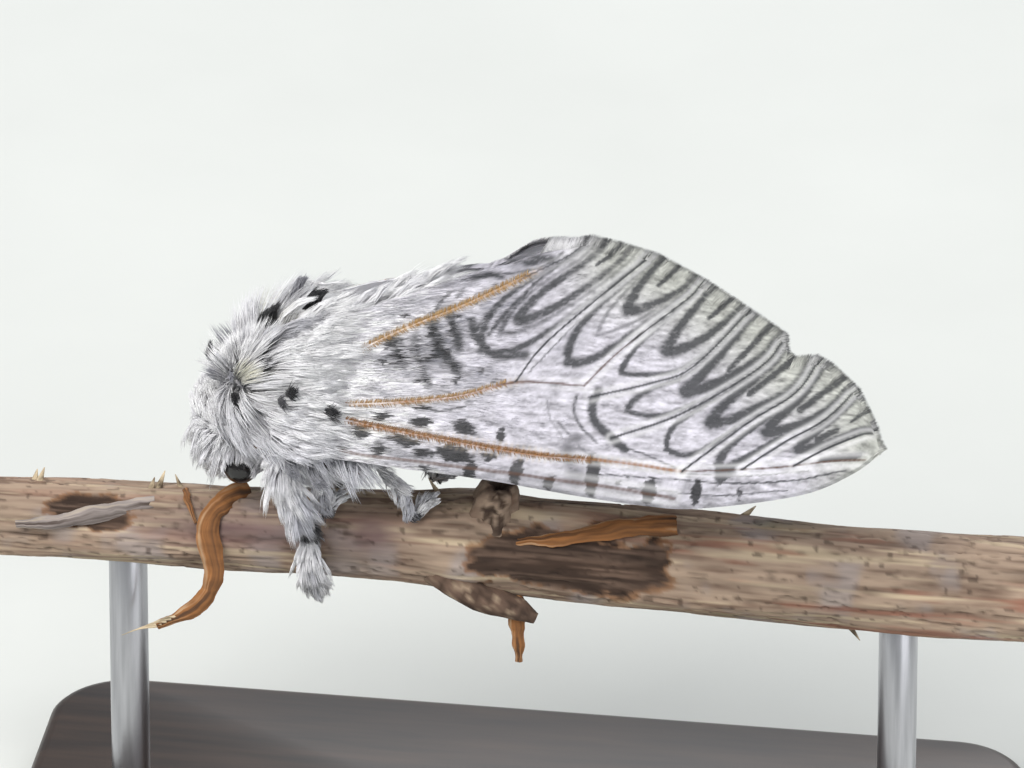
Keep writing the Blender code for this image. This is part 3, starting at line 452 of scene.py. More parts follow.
# Between two veins: the way outwards, then chevrons as (corner, spread, opening length,
# thickness at the corner, thickness of the arms, strength), then the margin's dark streak as
# (inner end, outer end, inner thickness, outer thickness)
CELLS = [
    ("anal", "cubitus_two", (0.776, 0.63),
     [((13.8, 6.1), 0.42, 1.6, 0.42, 0.20, 0.85), ((11.4, 4.4), 0.9, 2.0, 0.28, 0.16, 0.8),
      ((12.7, 5.2), 0.68, 2.4, 0.20, 0.12, 0.5)],
     [((18.2, 10.0), (20.5, 11.8), 0.10, 0.26)]),
    ("cubitus_two", "cubitus_one", (0.767, 0.641),
     [((20.3, 7.2), 0.68, 1.7, 0.42, 0.18, 0.85), ((16.6, 4.2), 0.82, 1.3, 0.36, 0.18, 0.85),
      ((18.4, 5.8), 0.72, 2.0, 0.14, 0.10, 0.4)],
     [((22.1, 8.9), (24.2, 10.9), 0.14, 0.27)]),
    ("cubitus_one", "medial_three", (0.812, 0.583),
     [((22.9, 4.9), 0.70, 1.9, 0.46, 0.20, 0.9), ((20.1, 3.5), 0.9, 1.2, 0.20, 0.14, 0.8)],
     [((25.3, 7.0), (27.5, 9.1), 0.14, 0.28)]),
    ("medial_three", "medial_two", (0.826, 0.563),
     [((24.4, 2.3), 0.72, 1.9, 0.52, 0.22, 0.95), ((20.7, 1.1), 0.82, 1.0, 0.22, 0.13, 0.8)],
     [((26.7, 3.9), (29.8, 7.5), 0.18, 0.28)]),
    ("medial_two", "medial_one", (0.832, 0.555),
     [((25.7, 0.8), 0.72, 1.7, 0.46, 0.22, 0.9), ((22.7, -0.4), 0.85, 0.8, 0.20, 0.13, 0.85)],
     [((28.1, 2.6), (31.6, 5.6), 0.24, 0.26)]),
    ("medial_one", "radius_five", (0.809, 0.588),
     [((29.3, 0.25), 0.74, 1.6, 0.44, 0.20, 0.95), ((26.0, -1.75), 0.62, 0.9, 0.40, 0.12, 0.9)],
     [((31.2, 1.75), (34.3, 4.3), 0.26, 0.26)]),
    ("radius_five", "radius_four", (0.85, 0.53),
     [((31.1, -0.5), 0.74, 1.1, 0.36, 0.18, 0.95)],
     [((32.3, 0.0), (33.5, 0.65), 0.26, 0.24), ((34.3, 1.2), (36.0, 2.6), 0.10, 0.24)]),
    ("radius_four", "radius_end", (0.96, 0.27),
     [], [((32.7, -1.2), (35.3, -0.5), 0.24, 0.18)]),
]

# Soft grey smudges: place, half length, half thickness, heading in degrees, strength
SMUDGES = [
    ((9.0, 5.0), 1.2, 2.2, -20, 0.55), ((12.5, 7.3), 1.2, 1.8, -35, 0.5),
    ((11.5, 2.9), 1.4, 0.7, 20, 0.4), ((7.0, 7.2), 1.6, 0.6, 25, 0.4),
    ((16.9, 5.2), 1.4, 0.7, 45, 0.3), ((14.5, 9.8), 2.2, 0.7, 30, 0.5),
    ((6.0, 3.6), 1.2, 1.0, 0, 0.35), ((8.5, -2.1), 3.5, 0.5, -6, 0.5),
    ((16.5, -3.0), 4.0, 0.5, -6, 0.35), ((10.5, 9.0), 1.5, 0.5, 20, 0.4),
    ((26.5, 1.6), 1.0, 0.5, 33, 0.35), ((29.0, 0.4), 0.8, 0.5, 33, 0.35),
]

# Lines drawn freely: points, thickness, strength
STROKES = [
    ([(18.8, 2.3), (18.45, 1.5), (18.6, 0.5), (19.5, -0.3), (20.5, -1.1)], 0.33, 1.0),
    ([(17.5, 2.0), (17.3, 1.1), (17.8, 0.1), (18.8, -0.8)], 0.13, 0.55),
    ([(20.3, -0.95), (22.0, -1.45), (23.9, -2.2)], 0.07, 0.7),
    ([(10.9, 5.4), (11.3, 6.2), (12.2, 7.2)], 0.20, 0.65),
    ([(11.8, 5.4), (12.6, 6.6), (13.6, 7.7), (14.7, 8.9), (16.6, 10.5)], 0.17, 0.65),
    ([(8.3, 6.6), (8.7, 7.3), (9.4, 8.1)], 0.13, 0.6),
    ([(9.8, 7.6), (10.2, 8.3)], 0.12, 0.5),
    ([(11.4, 9.2), (13.4, 9.4), (15.2, 9.95), (16.4, 11.0)], 0.12, 0.6),
    ([(13.4, 10.2), (15.2, 10.9), (16.8, 11.6)], 0.12, 0.45),
    ([(14.4, 3.2), (15.6, 4.6), (17.4, 6.6)], 0.07, 0.5),
    ([(16.4, 0.3), (17.2, -0.6), (18.2, -1.5)], 0.12, 0.4),
    ([(15.6, 1.6), (15.9, 0.4), (16.9, -0.9)], 0.09, 0.3),
    ([(7.7, 0.8), (9.0, 0.65), (10.6, 1.0)], 0.07, 0.7),
    ([(10.5, 1.2), (11.2, 1.4)], 0.07, 0.5),
    ([(18.4, -2.6), (22.0, -2.75), (27.0, -2.75), (31.5, -2.2), (34.6, -1.3)], 0.05, 0.75),
    ([(21.0, -3.2), (26.0, -3.35), (31.0, -2.7)], 0.05, 0.6),
    ([(24.0, -2.45), (28.0, -2.35), (32.0, -1.75)], 0.045, 0.6),
    ([(8.2, 5.9), (8.5, 4.9), (8.9, 4.2), (9.9, 3.2)], 0.45, 0.8),
    ([(9.3, 6.4), (9.7, 5.4), (10.0, 4.6)], 0.36, 0.8),
    ([(10.7, 6.2), (11.0, 5.2), (12.3, 4.2), (14.2, 4.3)], 0.34, 0.75),
    ([(7.1, 5.0), (7.4, 3.9), (8.2, 2.1)], 0.34, 0.6),
    ([(6.0, 4.9), (6.2, 4.0), (6.6, 3.4)], 0.42, 0.75),
    ([(17.5, -0.6), (17.0, -1.2), (17.1, -2.0), (17.9, -2.9)], 0.5, 0.45),
    ([(14.2, 10.2), (14.8, 10.45), (15.6, 10.4)], 0.5, 0.7),
    ([(11.0, 9.1), (11.8, 9.3), (12.4, 9.2)], 0.35, 0.7),
]

# Dark specks: place, half length, half thickness, heading in degrees, strength
SPECKS = [
    ((2.0, 0.1), 0.45, 0.4, 0, 1.0), ((4.0, -0.85), 0.4, 0.3, 0, 1.0),
    ((5.3, 0.1), 0.38, 0.28, 0, 0.95), ((7.8, -0.15), 0.6, 0.3, 5, 0.95),
    ((10.5, -0.35), 0.6, 0.4, -20, 0.85), ((12.8, -0.6), 0.25, 0.4, 0, 0.7),
    ((7.9, 0.75), 0.45, 0.12, 5, 0.8), ((6.8, -1.2), 0.95, 0.22, -8, 0.9),
    ((10.0, -1.75), 1.1, 0.3, -10, 0.9), ((5.4, -1.6), 0.5, 0.2, -5, 0.8),
    ((8.2, -1.75), 0.7, 0.16, -5, 0.8), ((12.2, -1.9), 0.5, 0.16, -8, 0.7),
    ((11.3, -2.5), 0.35, 0.4, 0, 0.95), ((14.1, -2.55), 0.32, 0.5, 5, 0.95),
    ((16.2, -3.0), 0.3, 0.3, 0, 0.8), ((18.7, -2.6), 0.34, 0.95, 10, 1.0),
    ((22.3, -3.35), 0.36, 0.5, 10, 0.95), ((25.2, -3.2), 0.28, 0.5, 10, 0.9),
    ((28.0, -3.1), 0.18, 0.3, 10, 0.5), ((20.3, -3.0), 0.2, 0.12, 0, 0.5),
    ((8.6, -2.4), 0.3, 0.14, 0, 0.6), ((3.0, -1.5), 0.35, 0.2, 0, 0.7),
    ((5.5, 4.6), 0.25, 0.4, -40, 0.6), ((6.2, 3.8), 0.35, 0.3, -20, 0.7),
    ((5.2, 3.4), 0.18, 0.22, 0, 0.85), ((8.2, 5.5), 0.2, 0.5, -15, 0.6),
    ((8.7, 4.7), 0.2, 0.5, -35, 0.6), ((9.2, 4.2), 0.25, 0.25, 0, 0.6),
    ((8.1, 3.8), 0.6, 0.14, 20, 0.55), ((9.4, 5.7), 0.15, 0.35, 0, 0.6),
    ((7.8, 2.4), 0.5, 0.2, 0, 0.5), ((9.7, 3.5), 0.12, 0.35, -20, 0.55),
    ((10.0, 2.6), 0.12, 0.4, -15, 0.5), ((6.6, 6.4), 0.3, 0.14, 30, 0.5),
    ((11.5, 3.2), 0.2, 0.3, 0, 0.35), ((12.2, 2.6), 0.3, 0.12, 30, 0.35),
    ((9.9, 6.3), 0.2, 0.3, 30, 0.4), ((10.5, 9.0), 0.35, 0.12, 20, 0.4),
]


LINE_WEIGHT = 1.3
SPECK_SIZE = 1.3
MARKING_SHIFT = np.array([0.5, 0.5])


def chevron(outward, width, across, spread, opening, thick_corner, thick_arm):
    """How dark a V-shaped line is at distances outward of its corner and across the cell."""
    beyond = np.maximum(outward, 0.0)
    arm = spread * (1 - np.exp(-beyond / opening))
    slope = 0.5 * width * spread / opening * np.exp(-beyond / opening)
    lateral = abs(abs(across) - arm) * 0.5 * width / np.sqrt(1 + slope ** 2)
    behind = np.hypot(outward, across * 0.5 * width)
    distance = np.where(outward > 0, lateral, behind)
    thickness = thick_arm + (0.85 * thick_corner - thick_arm) * np.exp(-beyond / 1.5)
    return smoothstep(1.3, 0.2, distance / (LINE_WEIGHT * thickness))


def streak(points, start, end, thick_start, thick_end):
    """How dark a straight wedge from start to end is."""
    start, end = np.array(start), np.array(end)
    distance, _, along = line_distance(points, np.array([start, end]))
    share = along / np.linalg.norm(end - start)
    thickness = thick_start + (thick_end - thick_start) * share
    return smoothstep(1.3, 0.3, distance / thickness)


def cell_marks(points, lines):
    """Darkness from 0 to 1 of the nested chevrons and margin streaks between the veins."""
    dark = np.zeros(len(points))
    for above, below, way, chevrons, streaks in CELLS:
        gap_above, side_above, _ = line_distance(points, lines[above])
        gap_below, side_below, _ = line_distance(points, lines[below])
        within = (side_above <= 0) & (side_below >= 0)
        width = gap_above + gap_below
        across = (gap_below - gap_above) / np.maximum(width, 1e-6)
        for corner, spread, opening, thick_corner, thick_arm, strength in chevrons:
            outward = (points - np.array(corner)) @ np.array(way)
            shade = chevron(outward, width, across, spread, opening, thick_corner, thick_arm)
            shade = shade * strength * within * (1 - 0.35 * smoothstep(2.5, 6.0, outward))
            dark = np.maximum(dark, shade)
        for start, end, thick_start, thick_end in streaks:
            shade = streak(points, start, end, thick_start, thick_end)
            dark = np.maximum(dark, shade * 0.85 * within)
    return dark


def free_marks(points):
    """Darkness of the strokes outside the cells' own pattern."""
    dark = np.zeros(len(points))
    for line, thickness, strength in STROKES:
        distance = line_distance(points, smooth_path(line, 4))[0]
        dark = np.maximum(dark, strength * smoothstep(1.3, 0.15, distance / thickness))
    return dark


def speck_marks(points, specks, soft):
    """Strength of the specks or smudges, fading over the soft share of their size."""
    dark = np.zeros(len(points))
    for centre, half_length, half_thickness, heading, strength in specks:
        turn = math.radians(heading)
        away = points - np.array(centre)
        ahead = away @ np.array([math.cos(turn), math.sin(turn)]) / half_length
        beside = away @ np.array([-math.sin(turn), math.cos(turn)]) / half_thickness
        reach = np.hypot(ahead, beside) / SPECK_SIZE
        dark = np.maximum(dark, strength * smoothstep(1.2, 1.1 - soft, reach))
    return dark


def outer_edge(side):
    """The wing's outer edge, where its fringe grows."""
    upper = wing_edges(side)[1]
    return upper[upper[:, 0] > MARGIN_START]


def wing_ground(p, q, side, flat_points, fine, grain):
    """The wing's pale ground colour with its streaks and clouds, under the markings."""
    colour = mix(WING_BASE, WING_MIDDLE, smoothstep(3.0, 15.0, p))
    margin = line_distance(flat_points, outer_edge(side))[0]
    outer = smoothstep(7.0, 1.2, margin) * smoothstep(15.0, 20.0, p)
    colour = mix(colour, WING_OUTER, outer)
    streaks = 0.5 * layered(flat_points * (1.1, 6.0), 3, 5) + 0.35 * fine + 0.3 * grain
    streaks += 0.5 * noise(flat_points * (1.5, 5.5), 27)
    colour = np.clip(colour * (1 + 0.6 * streaks[:, None]), 0, 0.92)
    clouds = layered(flat_points * (0.7, 1.4), 4, 9) + 0.5 * fine
    basal = smoothstep(2.0, 6.0, p) * smoothstep(18.0, 11.0, p) * smoothstep(-0.5, 2.5, q)
    return mix(colour, GREY, 0.5 * smoothstep(0.1, 0.8, clouds) * basal)


def wing_paint(p, q, side):
    """The wing's colour at p and q."""
    flat_points = together(p, q)
    flat_points = flat_points - marking_shift(flat_points)
    fine = noise(flat_points * (2.4, 10.0), 21)
    grain = noise(flat_points * (7.0, 13.0), 23)
    ragged = together(0.11 * noise(flat_points * (3.0, 9.0), 3),
                       0.05 * noise(flat_points * (5.0, 12.0), 4))
    coarse = 1.6 * smoothstep(14.0, 5.0, p) + 0.6
    points = flat_points + ragged * coarse[:, None]
    lines = drawn_veins()
    colour = wing_ground(p, q, side, flat_points, fine, grain)
    smudges = speck_marks(flat_points, SMUDGES, 0.9) * (0.75 + 0.9 * fine)
    colour = mix(colour, GREY * 0.8, np.clip(smudges, 0, 0.75))
    dark = np.maximum(cell_marks(points, lines), free_marks(points))
    dark = np.clip(1.4 * dark * (1 + 0.3 * fine + 0.3 * grain), 0, 1)
    colour = mix(colour, LINE_GREY, 0.92 * dark)
    specks = speck_marks(points, SPECKS, 0.6)
    speckle = smoothstep(0.2, 0.6, specks + 0.4 * noise(flat_points * (4.0, 14.0), 31)
                         * (specks > 0.02))
    colour = mix(colour, BLACK, 0.93 * speckle)
    return np.clip(vein_paint(colour, flat_points, lines), 0.003, 1)


def vein_paint(colour, points, lines):
    """The wing's colour with the veins drawn over it."""
    p = points[:, 0]
    for name, tint, half, start, end, strength, beading in VEIN_PAINT:
        distance, side, along = line_distance(points, lines[name])
        reach = smoothstep(start - 0.6, start + 0.6, p) * smoothstep(end + 0.8, end - 0.8, p)
        broken = 1 - beading * (0.5 + 0.5 * np.sin(along * 17 + 2.0 * noise(points * 2, 8)))
        body = smoothstep(1.4, 0.6, distance / half) * broken
        pale = bell(distance - 0.26, 0.14) * smoothstep(12.0, 20.0, p)
        colour = mix(colour, WHITE * 0.9, 0.4 * reach * pale)
        colour = mix(colour, tint, strength * reach * body)
        if beading > 0.25:
            rim = bell(distance - 1.9 * half, 0.9 * half)
            hairs = 0.5 + 0.5 * np.sin(along * 17 + 3.0 * side)
            colour = mix(colour, tint * 0.5 + CREAM * 0.5, 0.4 * strength * reach * rim * hairs)
    return colour


# Wings

WING_GRID = {-1: (400, 150), 1: (220, 90)}
EDGE_ROLL = 0.22
UNDER_COLUMNS = 120
UNDER_ROWS = 40
TOP_LIFT = 0.2
UNDER_LIFT = -0.1
VEIN_LIFT = 0.12


def wing_grid(side, columns, rows):
    """Evenly spread (p, q) over the wing inside its fringe, and their distance to its edge."""
    lower, upper = wing_edges(side)
    p = np.linspace(0.3, WING_REACH - 0.35, columns)
    low = np.interp(p, *lower.T) + 0.1
    inset = 0.1 + FRINGE * 0.8 * smoothstep(MARGIN_START - 1, MARGIN_START + 1, p)
    high = np.maximum(np.interp(p, *upper.T) - inset, low + 0.02)
    even = upper[(upper[:, 0] < 29) | (upper[:, 0] > 33)]
    level = np.maximum(np.interp(p, *even.T) - inset, high)
    share = np.linspace(0, 1, rows)
    q = low[:, None] + (level - low)[:, None] * share
    q = np.minimum(q, high[:, None] - 0.02 * (level - low)[:, None] * (1 - share))
    edge = np.minimum(q - low[:, None], high[:, None] - q)
    return np.repeat(p, rows), q.ravel(), edge.ravel()


def wing_relief(points, lines):
    """Height of the veins and of the folds between them."""
    height = np.zeros(len(points))
    nearest = np.full(len(points), 1e9)
    for name, line in lines.items():
        distance = line_distance(points, line)[0]
        strong = 1.0 if name in ("radius", "cubitus", "anal", "subcosta") else 0.55
        height = np.maximum(height, VEIN_LIFT * strong * bell(distance, 0.16))
        nearest = np.minimum(nearest, distance)
    return height + 0.05 * np.sin(np.minimum(nearest, 1.4) / 1.4 * np.pi)


def forewing(side, material):
    """One forewing as a finely gridded sheet with veins, painted point by point."""
    columns, rows = WING_GRID[side]
    p, q, edge = wing_grid(side, columns, rows)
    flat_points = together(p, q)
    lines = vein_lines()
    rolled = smoothstep(EDGE_ROLL, 0.0, edge)
    lift = TOP_LIFT + wing_relief(flat_points, lines)
    lift = lift + (UNDER_LIFT + 0.02 - lift) * rolled
    top = wing_place(p, q, lift, side)
    colours = wing_paint(p, q, side)
    under_p, under_q, _ = wing_grid(side, UNDER_COLUMNS, UNDER_ROWS)
    under = wing_place(under_p, under_q, UNDER_LIFT, side)
    under_colour = mix(WING_BASE, PALE_GREY, 0.5 + 0.4 * layered(
        together(under_p, under_q) * (0.8, 3.0), 3, 14))
    quads = np.vstack([grid_quads(columns, rows),
                       grid_quads(UNDER_COLUMNS, UNDER_ROWS, first=len(top))[:, ::-1]])
    if side > 0:
        quads = quads[:, ::-1]
    uv = np.vstack([flat_points, together(under_p, under_q - 20)]) / 40 + (0.02, 0.52)
    thing = make_mesh(f"wing_{SIDES[side]}", np.vstack([top, under]), quads, [],
                      np.vstack([colours, under_colour]), uv)
    dress(thing, material, "wing", f"forewing_{SIDES[side]}")


HIND_COLUMNS = 80
HIND_ROWS = 40


def hindwing(side, material):
    """One hindwing under its forewing, pale with grey veins and rays."""
    along = np.linspace(0, 1, HIND_COLUMNS)
    p = 1.6 + 21.2 * along
    low = -0.9 - 1.3 * np.sin(np.pi * np.minimum(along * 0.62, 1)) + 2.6 * along ** 8
    high = 1.0 + 8.6 * np.sin(np.pi * np.clip(along * 0.62, 0, 1)) ** 1.3 - 5.5 * along ** 7
    share = np.linspace(0, 1, HIND_ROWS)
    q = (low[:, None] + (high - low)[:, None] * share).ravel()
    p = np.repeat(p, HIND_ROWS)
    flat_points = together(p, q)
    rays = np.zeros(len(p))
    for start, end in (((2.2, 0.2), (22, -1.0)), ((2.2, 0.8), (22.6, 1.8)),
                       ((2.4, 1.4), (21.2, 5.4)), ((2.6, 2.2), (18.2, 8.9))):
        distance = line_distance(flat_points, np.array([start, end], float))[0]
        rays = np.maximum(rays, bell(distance, 0.12))
    edge = np.minimum(np.tile(np.minimum(share, 1 - share), HIND_COLUMNS) * 12, 1)
    colours = mix(WING_BASE, PALE_GREY, 0.5 + 0.5 * layered(flat_points * (0.7, 2.5), 3, 17))
    colours = mix(colours, GREY, 0.6 * rays)
    base_lift = -1.15
    top = wing_place(p, q, base_lift + 0.12 * edge + 0.08 * rays, side)
    under = wing_place(p, q, base_lift - 0.12 * edge, side)
    quads = grid_quads(HIND_COLUMNS, HIND_ROWS)
    quads = np.vstack([quads, quads[:, ::-1] + len(top)])
    if side > 0:
        quads = quads[:, ::-1]
    uv = np.vstack([flat_points, flat_points + (0, 14)]) / 40 + (0.02, 0.1)
    thing = make_mesh(f"hind_{SIDES[side]}", np.vstack([top, under]), quads, [],
                      np.vstack([colours] * 2), uv)
    dress(thing, material, "wing", f"hindwing_{SIDES[side]}")


# Coat

STRAND_STATIONS = (0.0, 0.4, 0.75)
STRANDS_A_PIECE = 12000
# Strands of each coat, and of the near and far side's coats where they differ
BODY_STRANDS = {"thorax": 27500, "saddle": 6500, "head": 13000, "abdomen": 5000, "cheek": 2200,
                "lid": 420}
SIDE_STRANDS = {"shoulder": {-1: 9500, 1: 5000}, "wing": {-1: 9500, 1: 2000},
                "fringe": {-1: 5000, 1: 2400}}
PATCH = 0.003
rng = np.random.default_rng(SEED)


def strand_faces(count, size):
    """Quads and triangles of strands with three-sided rings and one point at the tip."""
    quads = []
    for low in range(0, 3 * (len(STRAND_STATIONS) - 1), 3):
        for corner in range(3):
            other = (corner + 1) % 3
            quads.append([low + corner, low + other, low + 3 + other, low + 3 + corner])
    last = 3 * (len(STRAND_STATIONS) - 1)
    triangles = [[last + corner, last + (corner + 1) % 3, size - 1] for corner in range(3)]
    triangles.append([2, 1, 0])
    first = (np.arange(count) * size)[:, None, None]
    return first + np.array(quads), first + np.array(triangles)


def strand_mesh(name, roots, middles, tips, widths, root_colours, tip_colours, places):
    """Tapered bent strands of hair as one solid mesh, with the OFBake map at their roots."""
    count = len(roots)
    rings = []
    colours = []
    maps = []
    chord = unit(tips - roots)
    sideways = unit(np.cross(chord, middles - roots + 1e-4))
    angles = np.array([0.5, 7 / 6, 11 / 6]) * np.pi
    for t in STRAND_STATIONS:
        centre = roots * (1 - t) ** 2 + middles * 2 * t * (1 - t) + tips * t * t
        heading = unit((middles - roots) * (1 - t) + (tips - middles) * t)
        up = np.cross(sideways, heading)
        radius = 0.5 * widths * (1 - 0.75 * t * t)
        for corner, angle in enumerate(angles):
            offset = sideways * math.cos(angle) + up * math.sin(angle) * 0.7
            rings.append(centre + offset * radius[:, None])
            colours.append(mix(root_colours, tip_colours, np.full(count, min(1.0, t * 1.6))))
            maps.append(places + PATCH * np.array([corner / 2 - 0.5, t - 0.5]))
    rings.append(tips)
    colours.append(tip_colours)
    maps.append(places + PATCH * np.array([0.0, 0.5]))
    points = np.stack(rings, axis=1).reshape(-1, 3)
    return make_mesh(name, points, *strand_faces(count, len(rings)),
                     np.stack(colours, axis=1).reshape(-1, 3),
                     np.stack(maps, axis=1).reshape(-1, 2), "OFBake")


def lay_coat(name, hairs, material, slot="fur"):
    """Lays strands as pieces of a size that the library takes."""
    count = len(hairs[0])
    pieces = math.ceil(count / STRANDS_A_PIECE)
    for piece in range(pieces):
        part = [values[piece::pieces] for values in hairs]
        dress(strand_mesh(f"{name}_{piece + 1}", *part), material, slot)


def clumped(roots, middles, tips, size, pull, spread):
    """Middles and tips drawn towards those of the nearest strand that leads a clump."""
    leaders = rng.choice(len(roots), max(len(roots) // size, 1), replace=False)
    nearest = np.empty(len(roots), int)
    for start in range(0, len(roots), 2000):
        block = roots[start:start + 2000]
        gaps = np.linalg.norm(block[:, None] - roots[leaders][None], axis=2)
        nearest[start:start + 2000] = leaders[np.argmin(gaps, axis=1)]
    swing = rng.normal(0, spread, (len(roots), 3))[nearest]
    reach = np.linalg.norm(tips - roots, axis=1, keepdims=True)
    middles = middles + (middles[nearest] - middles) * 0.3 * pull + swing * reach * 0.5
    tips = tips + (tips[nearest] - tips) * pull + swing * reach
    return middles, tips


def gathered(groups):
    """Several groups of strands as one."""
    return [np.concatenate(values) for values in zip(*groups)]


def furred(roots, middles, tips, clump, thickness, places):
    """Strands drawn into clumps and given their widths and the colours of the markings."""
    middles, tips = clumped(roots, middles, tips, *clump)
    widths = rng.uniform(*thickness, len(roots))
    return roots, middles, tips, widths, *coat_colours(roots, middles, tips), places


def on_thorax(radii, directions):
    """Points of the thorax, two lobes with a furrow along the middle of the back."""
    points = THORAX_CENTRE + radii * directions
    depth = FURROW * bell(directions[:, 1], FURROW_WIDTH)
    points[:, 2] -= np.where(directions[:, 2] > 0, radii[2] * directions[:, 2] * depth, 0.0)
    return points


def scattered(count, seed):
    """Random directions, evenly spread."""
    local = np.random.default_rng(seed)
    return unit(local.normal(size=(count, 3)))


def unwrap(directions):
    """Place of each direction on a flat map of the body."""
    turn = np.arctan2(directions[:, 1], directions[:, 2]) / (2 * np.pi) + 0.5
    return together(0.01 + 0.48 * turn, 0.51 + 0.48 * (directions[:, 0] + 1) / 2)


# Black spots on the body: place, radius, strength
SPOTS = [
    ((-15.2, 1.1, 14.8), 1.0, 1.0), ((-14.9, 0.3, 14.2), 0.65, 1.0),
    ((-12.2, 0.9, 16.0), 0.7, 1.0), ((-18.8, 0.5, 12.3), 0.6, 1.0),
    ((-14.5, -4.2, 14.3), 0.48, 0.95), ((-16.3, -4.4, 11.9), 0.4, 1.0),
    ((-16.25, -4.4, 11.4), 0.35, 1.0), ((-12.6, -5.5, 13.1), 0.45, 1.0),
    ((-13.1, -5.7, 12.6), 0.35, 0.9), ((-10.3, -5.6, 12.1), 0.45, 1.0),
    ((-13.6, 3.1, 15.7), 0.5, 0.55), ((-16.8, -3.5, 12.8), 0.3, 0.5),
    ((-10.8, -3.1, 15.5), 0.35, 0.45), ((-14.5, 4.2, 14.3), 0.48, 0.9),
    ((-16.3, 4.4, 11.7), 0.45, 1.0), ((-12.6, 5.6, 13.0), 0.5, 1.0),
    ((-10.3, 5.6, 12.1), 0.45, 1.0), ((-12.5, -6.0, 8.6), 0.55, 0.6),
    ((-11.0, -6.2, 8.2), 0.6, 0.6), ((-12.5, 6.0, 8.6), 0.55, 0.6),
    ((-17.6, -1.5, 5.9), 0.35, 0.9), ((-17.6, 1.5, 5.9), 0.35, 0.9),
]
# Grey bands on the body: points, half width, strength
BANDS = [
    ([(-17.0, 0.6, 13.9), (-17.9, -1.6, 13.0), (-17.4, -3.3, 12.3), (-17.2, -4.0, 10.4),
      (-17.2, -3.7, 9.0), (-16.9, -3.2, 7.2)], 0.42, 0.8),
    ([(-17.0, 0.6, 13.9), (-17.9, 1.8, 13.0), (-17.4, 3.4, 12.3), (-17.2, 4.0, 10.4),
      (-17.2, 3.7, 9.0)], 0.42, 0.8),
    ([(-17.0, 0.0, 13.8), (-15.1, -2.2, 15.2), (-13.3, -2.6, 15.8), (-11.4, -2.0, 15.8)],
     0.5, 0.6),
    ([(-14.9, 0.4, 14.6), (-13.9, 1.2, 15.4), (-13.4, 3.1, 15.7)], 0.5, 0.4),
]
CREAM_PATCHES = [((-13.7, 0.7, 15.2), 1.3), ((-15.5, -4.4, 13.3), 1.3), ((-15.5, 4.4, 13.3), 1.3)]


def on_coat(points):
    """Points moved in or out to the surface of the thorax's coat."""
    return THORAX_CENTRE + THORAX_COAT * unit((points - THORAX_CENTRE) / THORAX_COAT)


def body_paint(points, spots=True):
    """Colour of the body at points, with or without its black spots."""
    drift = 0.25 * sway(points, 1.3, 1, 40)
    moved = on_coat(points) + drift
    under = smoothstep(10.5, 7.0, points[:, 2])
    tone = 0.5 + 0.5 * layered(points * (0.5, 0.9, 0.9), 3, 45)
    grey = 0.30 * smoothstep(0.45, 0.8, tone) + 0.30 * under
    side = smoothstep(3.4, 5.4, abs(points[:, 1])) * smoothstep(12.5, 9.5, points[:, 2])
    colour = mix(WHITE, PALE_GREY, np.clip(grey + 0.35 * side, 0, 1))
    for centre, radius in CREAM_PATCHES:
        distance = np.linalg.norm(moved - on_coat(np.array(centre)), axis=1)
        colour = mix(colour, CREAM, 0.9 * smoothstep(1.2, 0.5, distance / radius))
    for line, half, strength in BANDS:
        distance = line_distance(moved, on_coat(np.array(line)))[0]
        colour = mix(colour, GREY, strength * smoothstep(1.5, 0.5, distance / half))
    for centre, radius, strength in SPOTS if spots else []:
        distance = np.linalg.norm(moved - 0.4 * drift - on_coat(np.array(centre)), axis=1)
        colour = mix(colour, BLACK, strength * smoothstep(1.2, 0.75, distance / radius))
    return colour


def coat_colours(roots, middles, tips):
    """Root and tip colours of strands, from the markings at the places where they show, with the
    roots darker as painted shade deep in the coat.
    """
    shade = 1 + rng.normal(0, 0.08, (len(roots), 1))
    tip_colours = body_paint(0.2 * middles + 0.8 * tips, spots=False) * shade
    # Roots at 0.9 of the markings' colours: painted shade deep in the coat.
    root_colours = body_paint(0.3 * roots + 0.7 * middles, spots=False) * shade * 0.9
    return np.clip(root_colours, 0, 0.98), np.clip(tip_colours, 0, 0.98)


def thorax_hairs():
    """Hair of the thorax away from the wings, from core to coat."""
    directions = scattered(BODY_STRANDS["thorax"], SEED + 1)
    beside = ((directions[:, 0] > -0.36) & (directions[:, 2] > -0.36)
              & (directions[:, 2] < 0.35) & (abs(directions[:, 1]) > 0.42))
    directions = directions[~(beside | (directions[:, 0] > 0.75))]
    count = len(directions)
    upper = smoothstep(-0.2, 0.4, directions[:, 2])
    lie = np.zeros((count, 3))
    lie[:, 0] = np.interp(directions[:, 0], [-0.8, -0.3, 0.2], [0.2, 0.42, 0.7])
    sideways = smoothstep(0.2, 0.5, abs(directions[:, 1]))
    lie[:, 0] += 0.4 * sideways * smoothstep(-0.2, -0.5, directions[:, 0])
    lie[:, 1] = 0.12 * directions[:, 1]
    lie[:, 2] = 0.10 * upper - 0.35 * (1 - upper)
    lie += rng.normal(0, 0.07, (count, 3))
    roots = on_thorax(THORAX_CORE * 0.97, directions)
    middles = on_thorax(THORAX_CORE * 0.35 + THORAX_COAT * 0.65, unit(directions + lie * 0.35))
    longer = 0.22 * upper * smoothstep(-0.4, -0.85, directions[:, 0])
    length = rng.uniform(0.86, 1.04, (count, 1)) + longer[:, None]
    tips = on_thorax(THORAX_COAT, unit(directions + lie))
    tips = THORAX_CENTRE + (tips - THORAX_CENTRE) * length
    return furred(roots, middles, tips, (34, 0.6, 0.1), (0.06, 0.11), unwrap(directions))


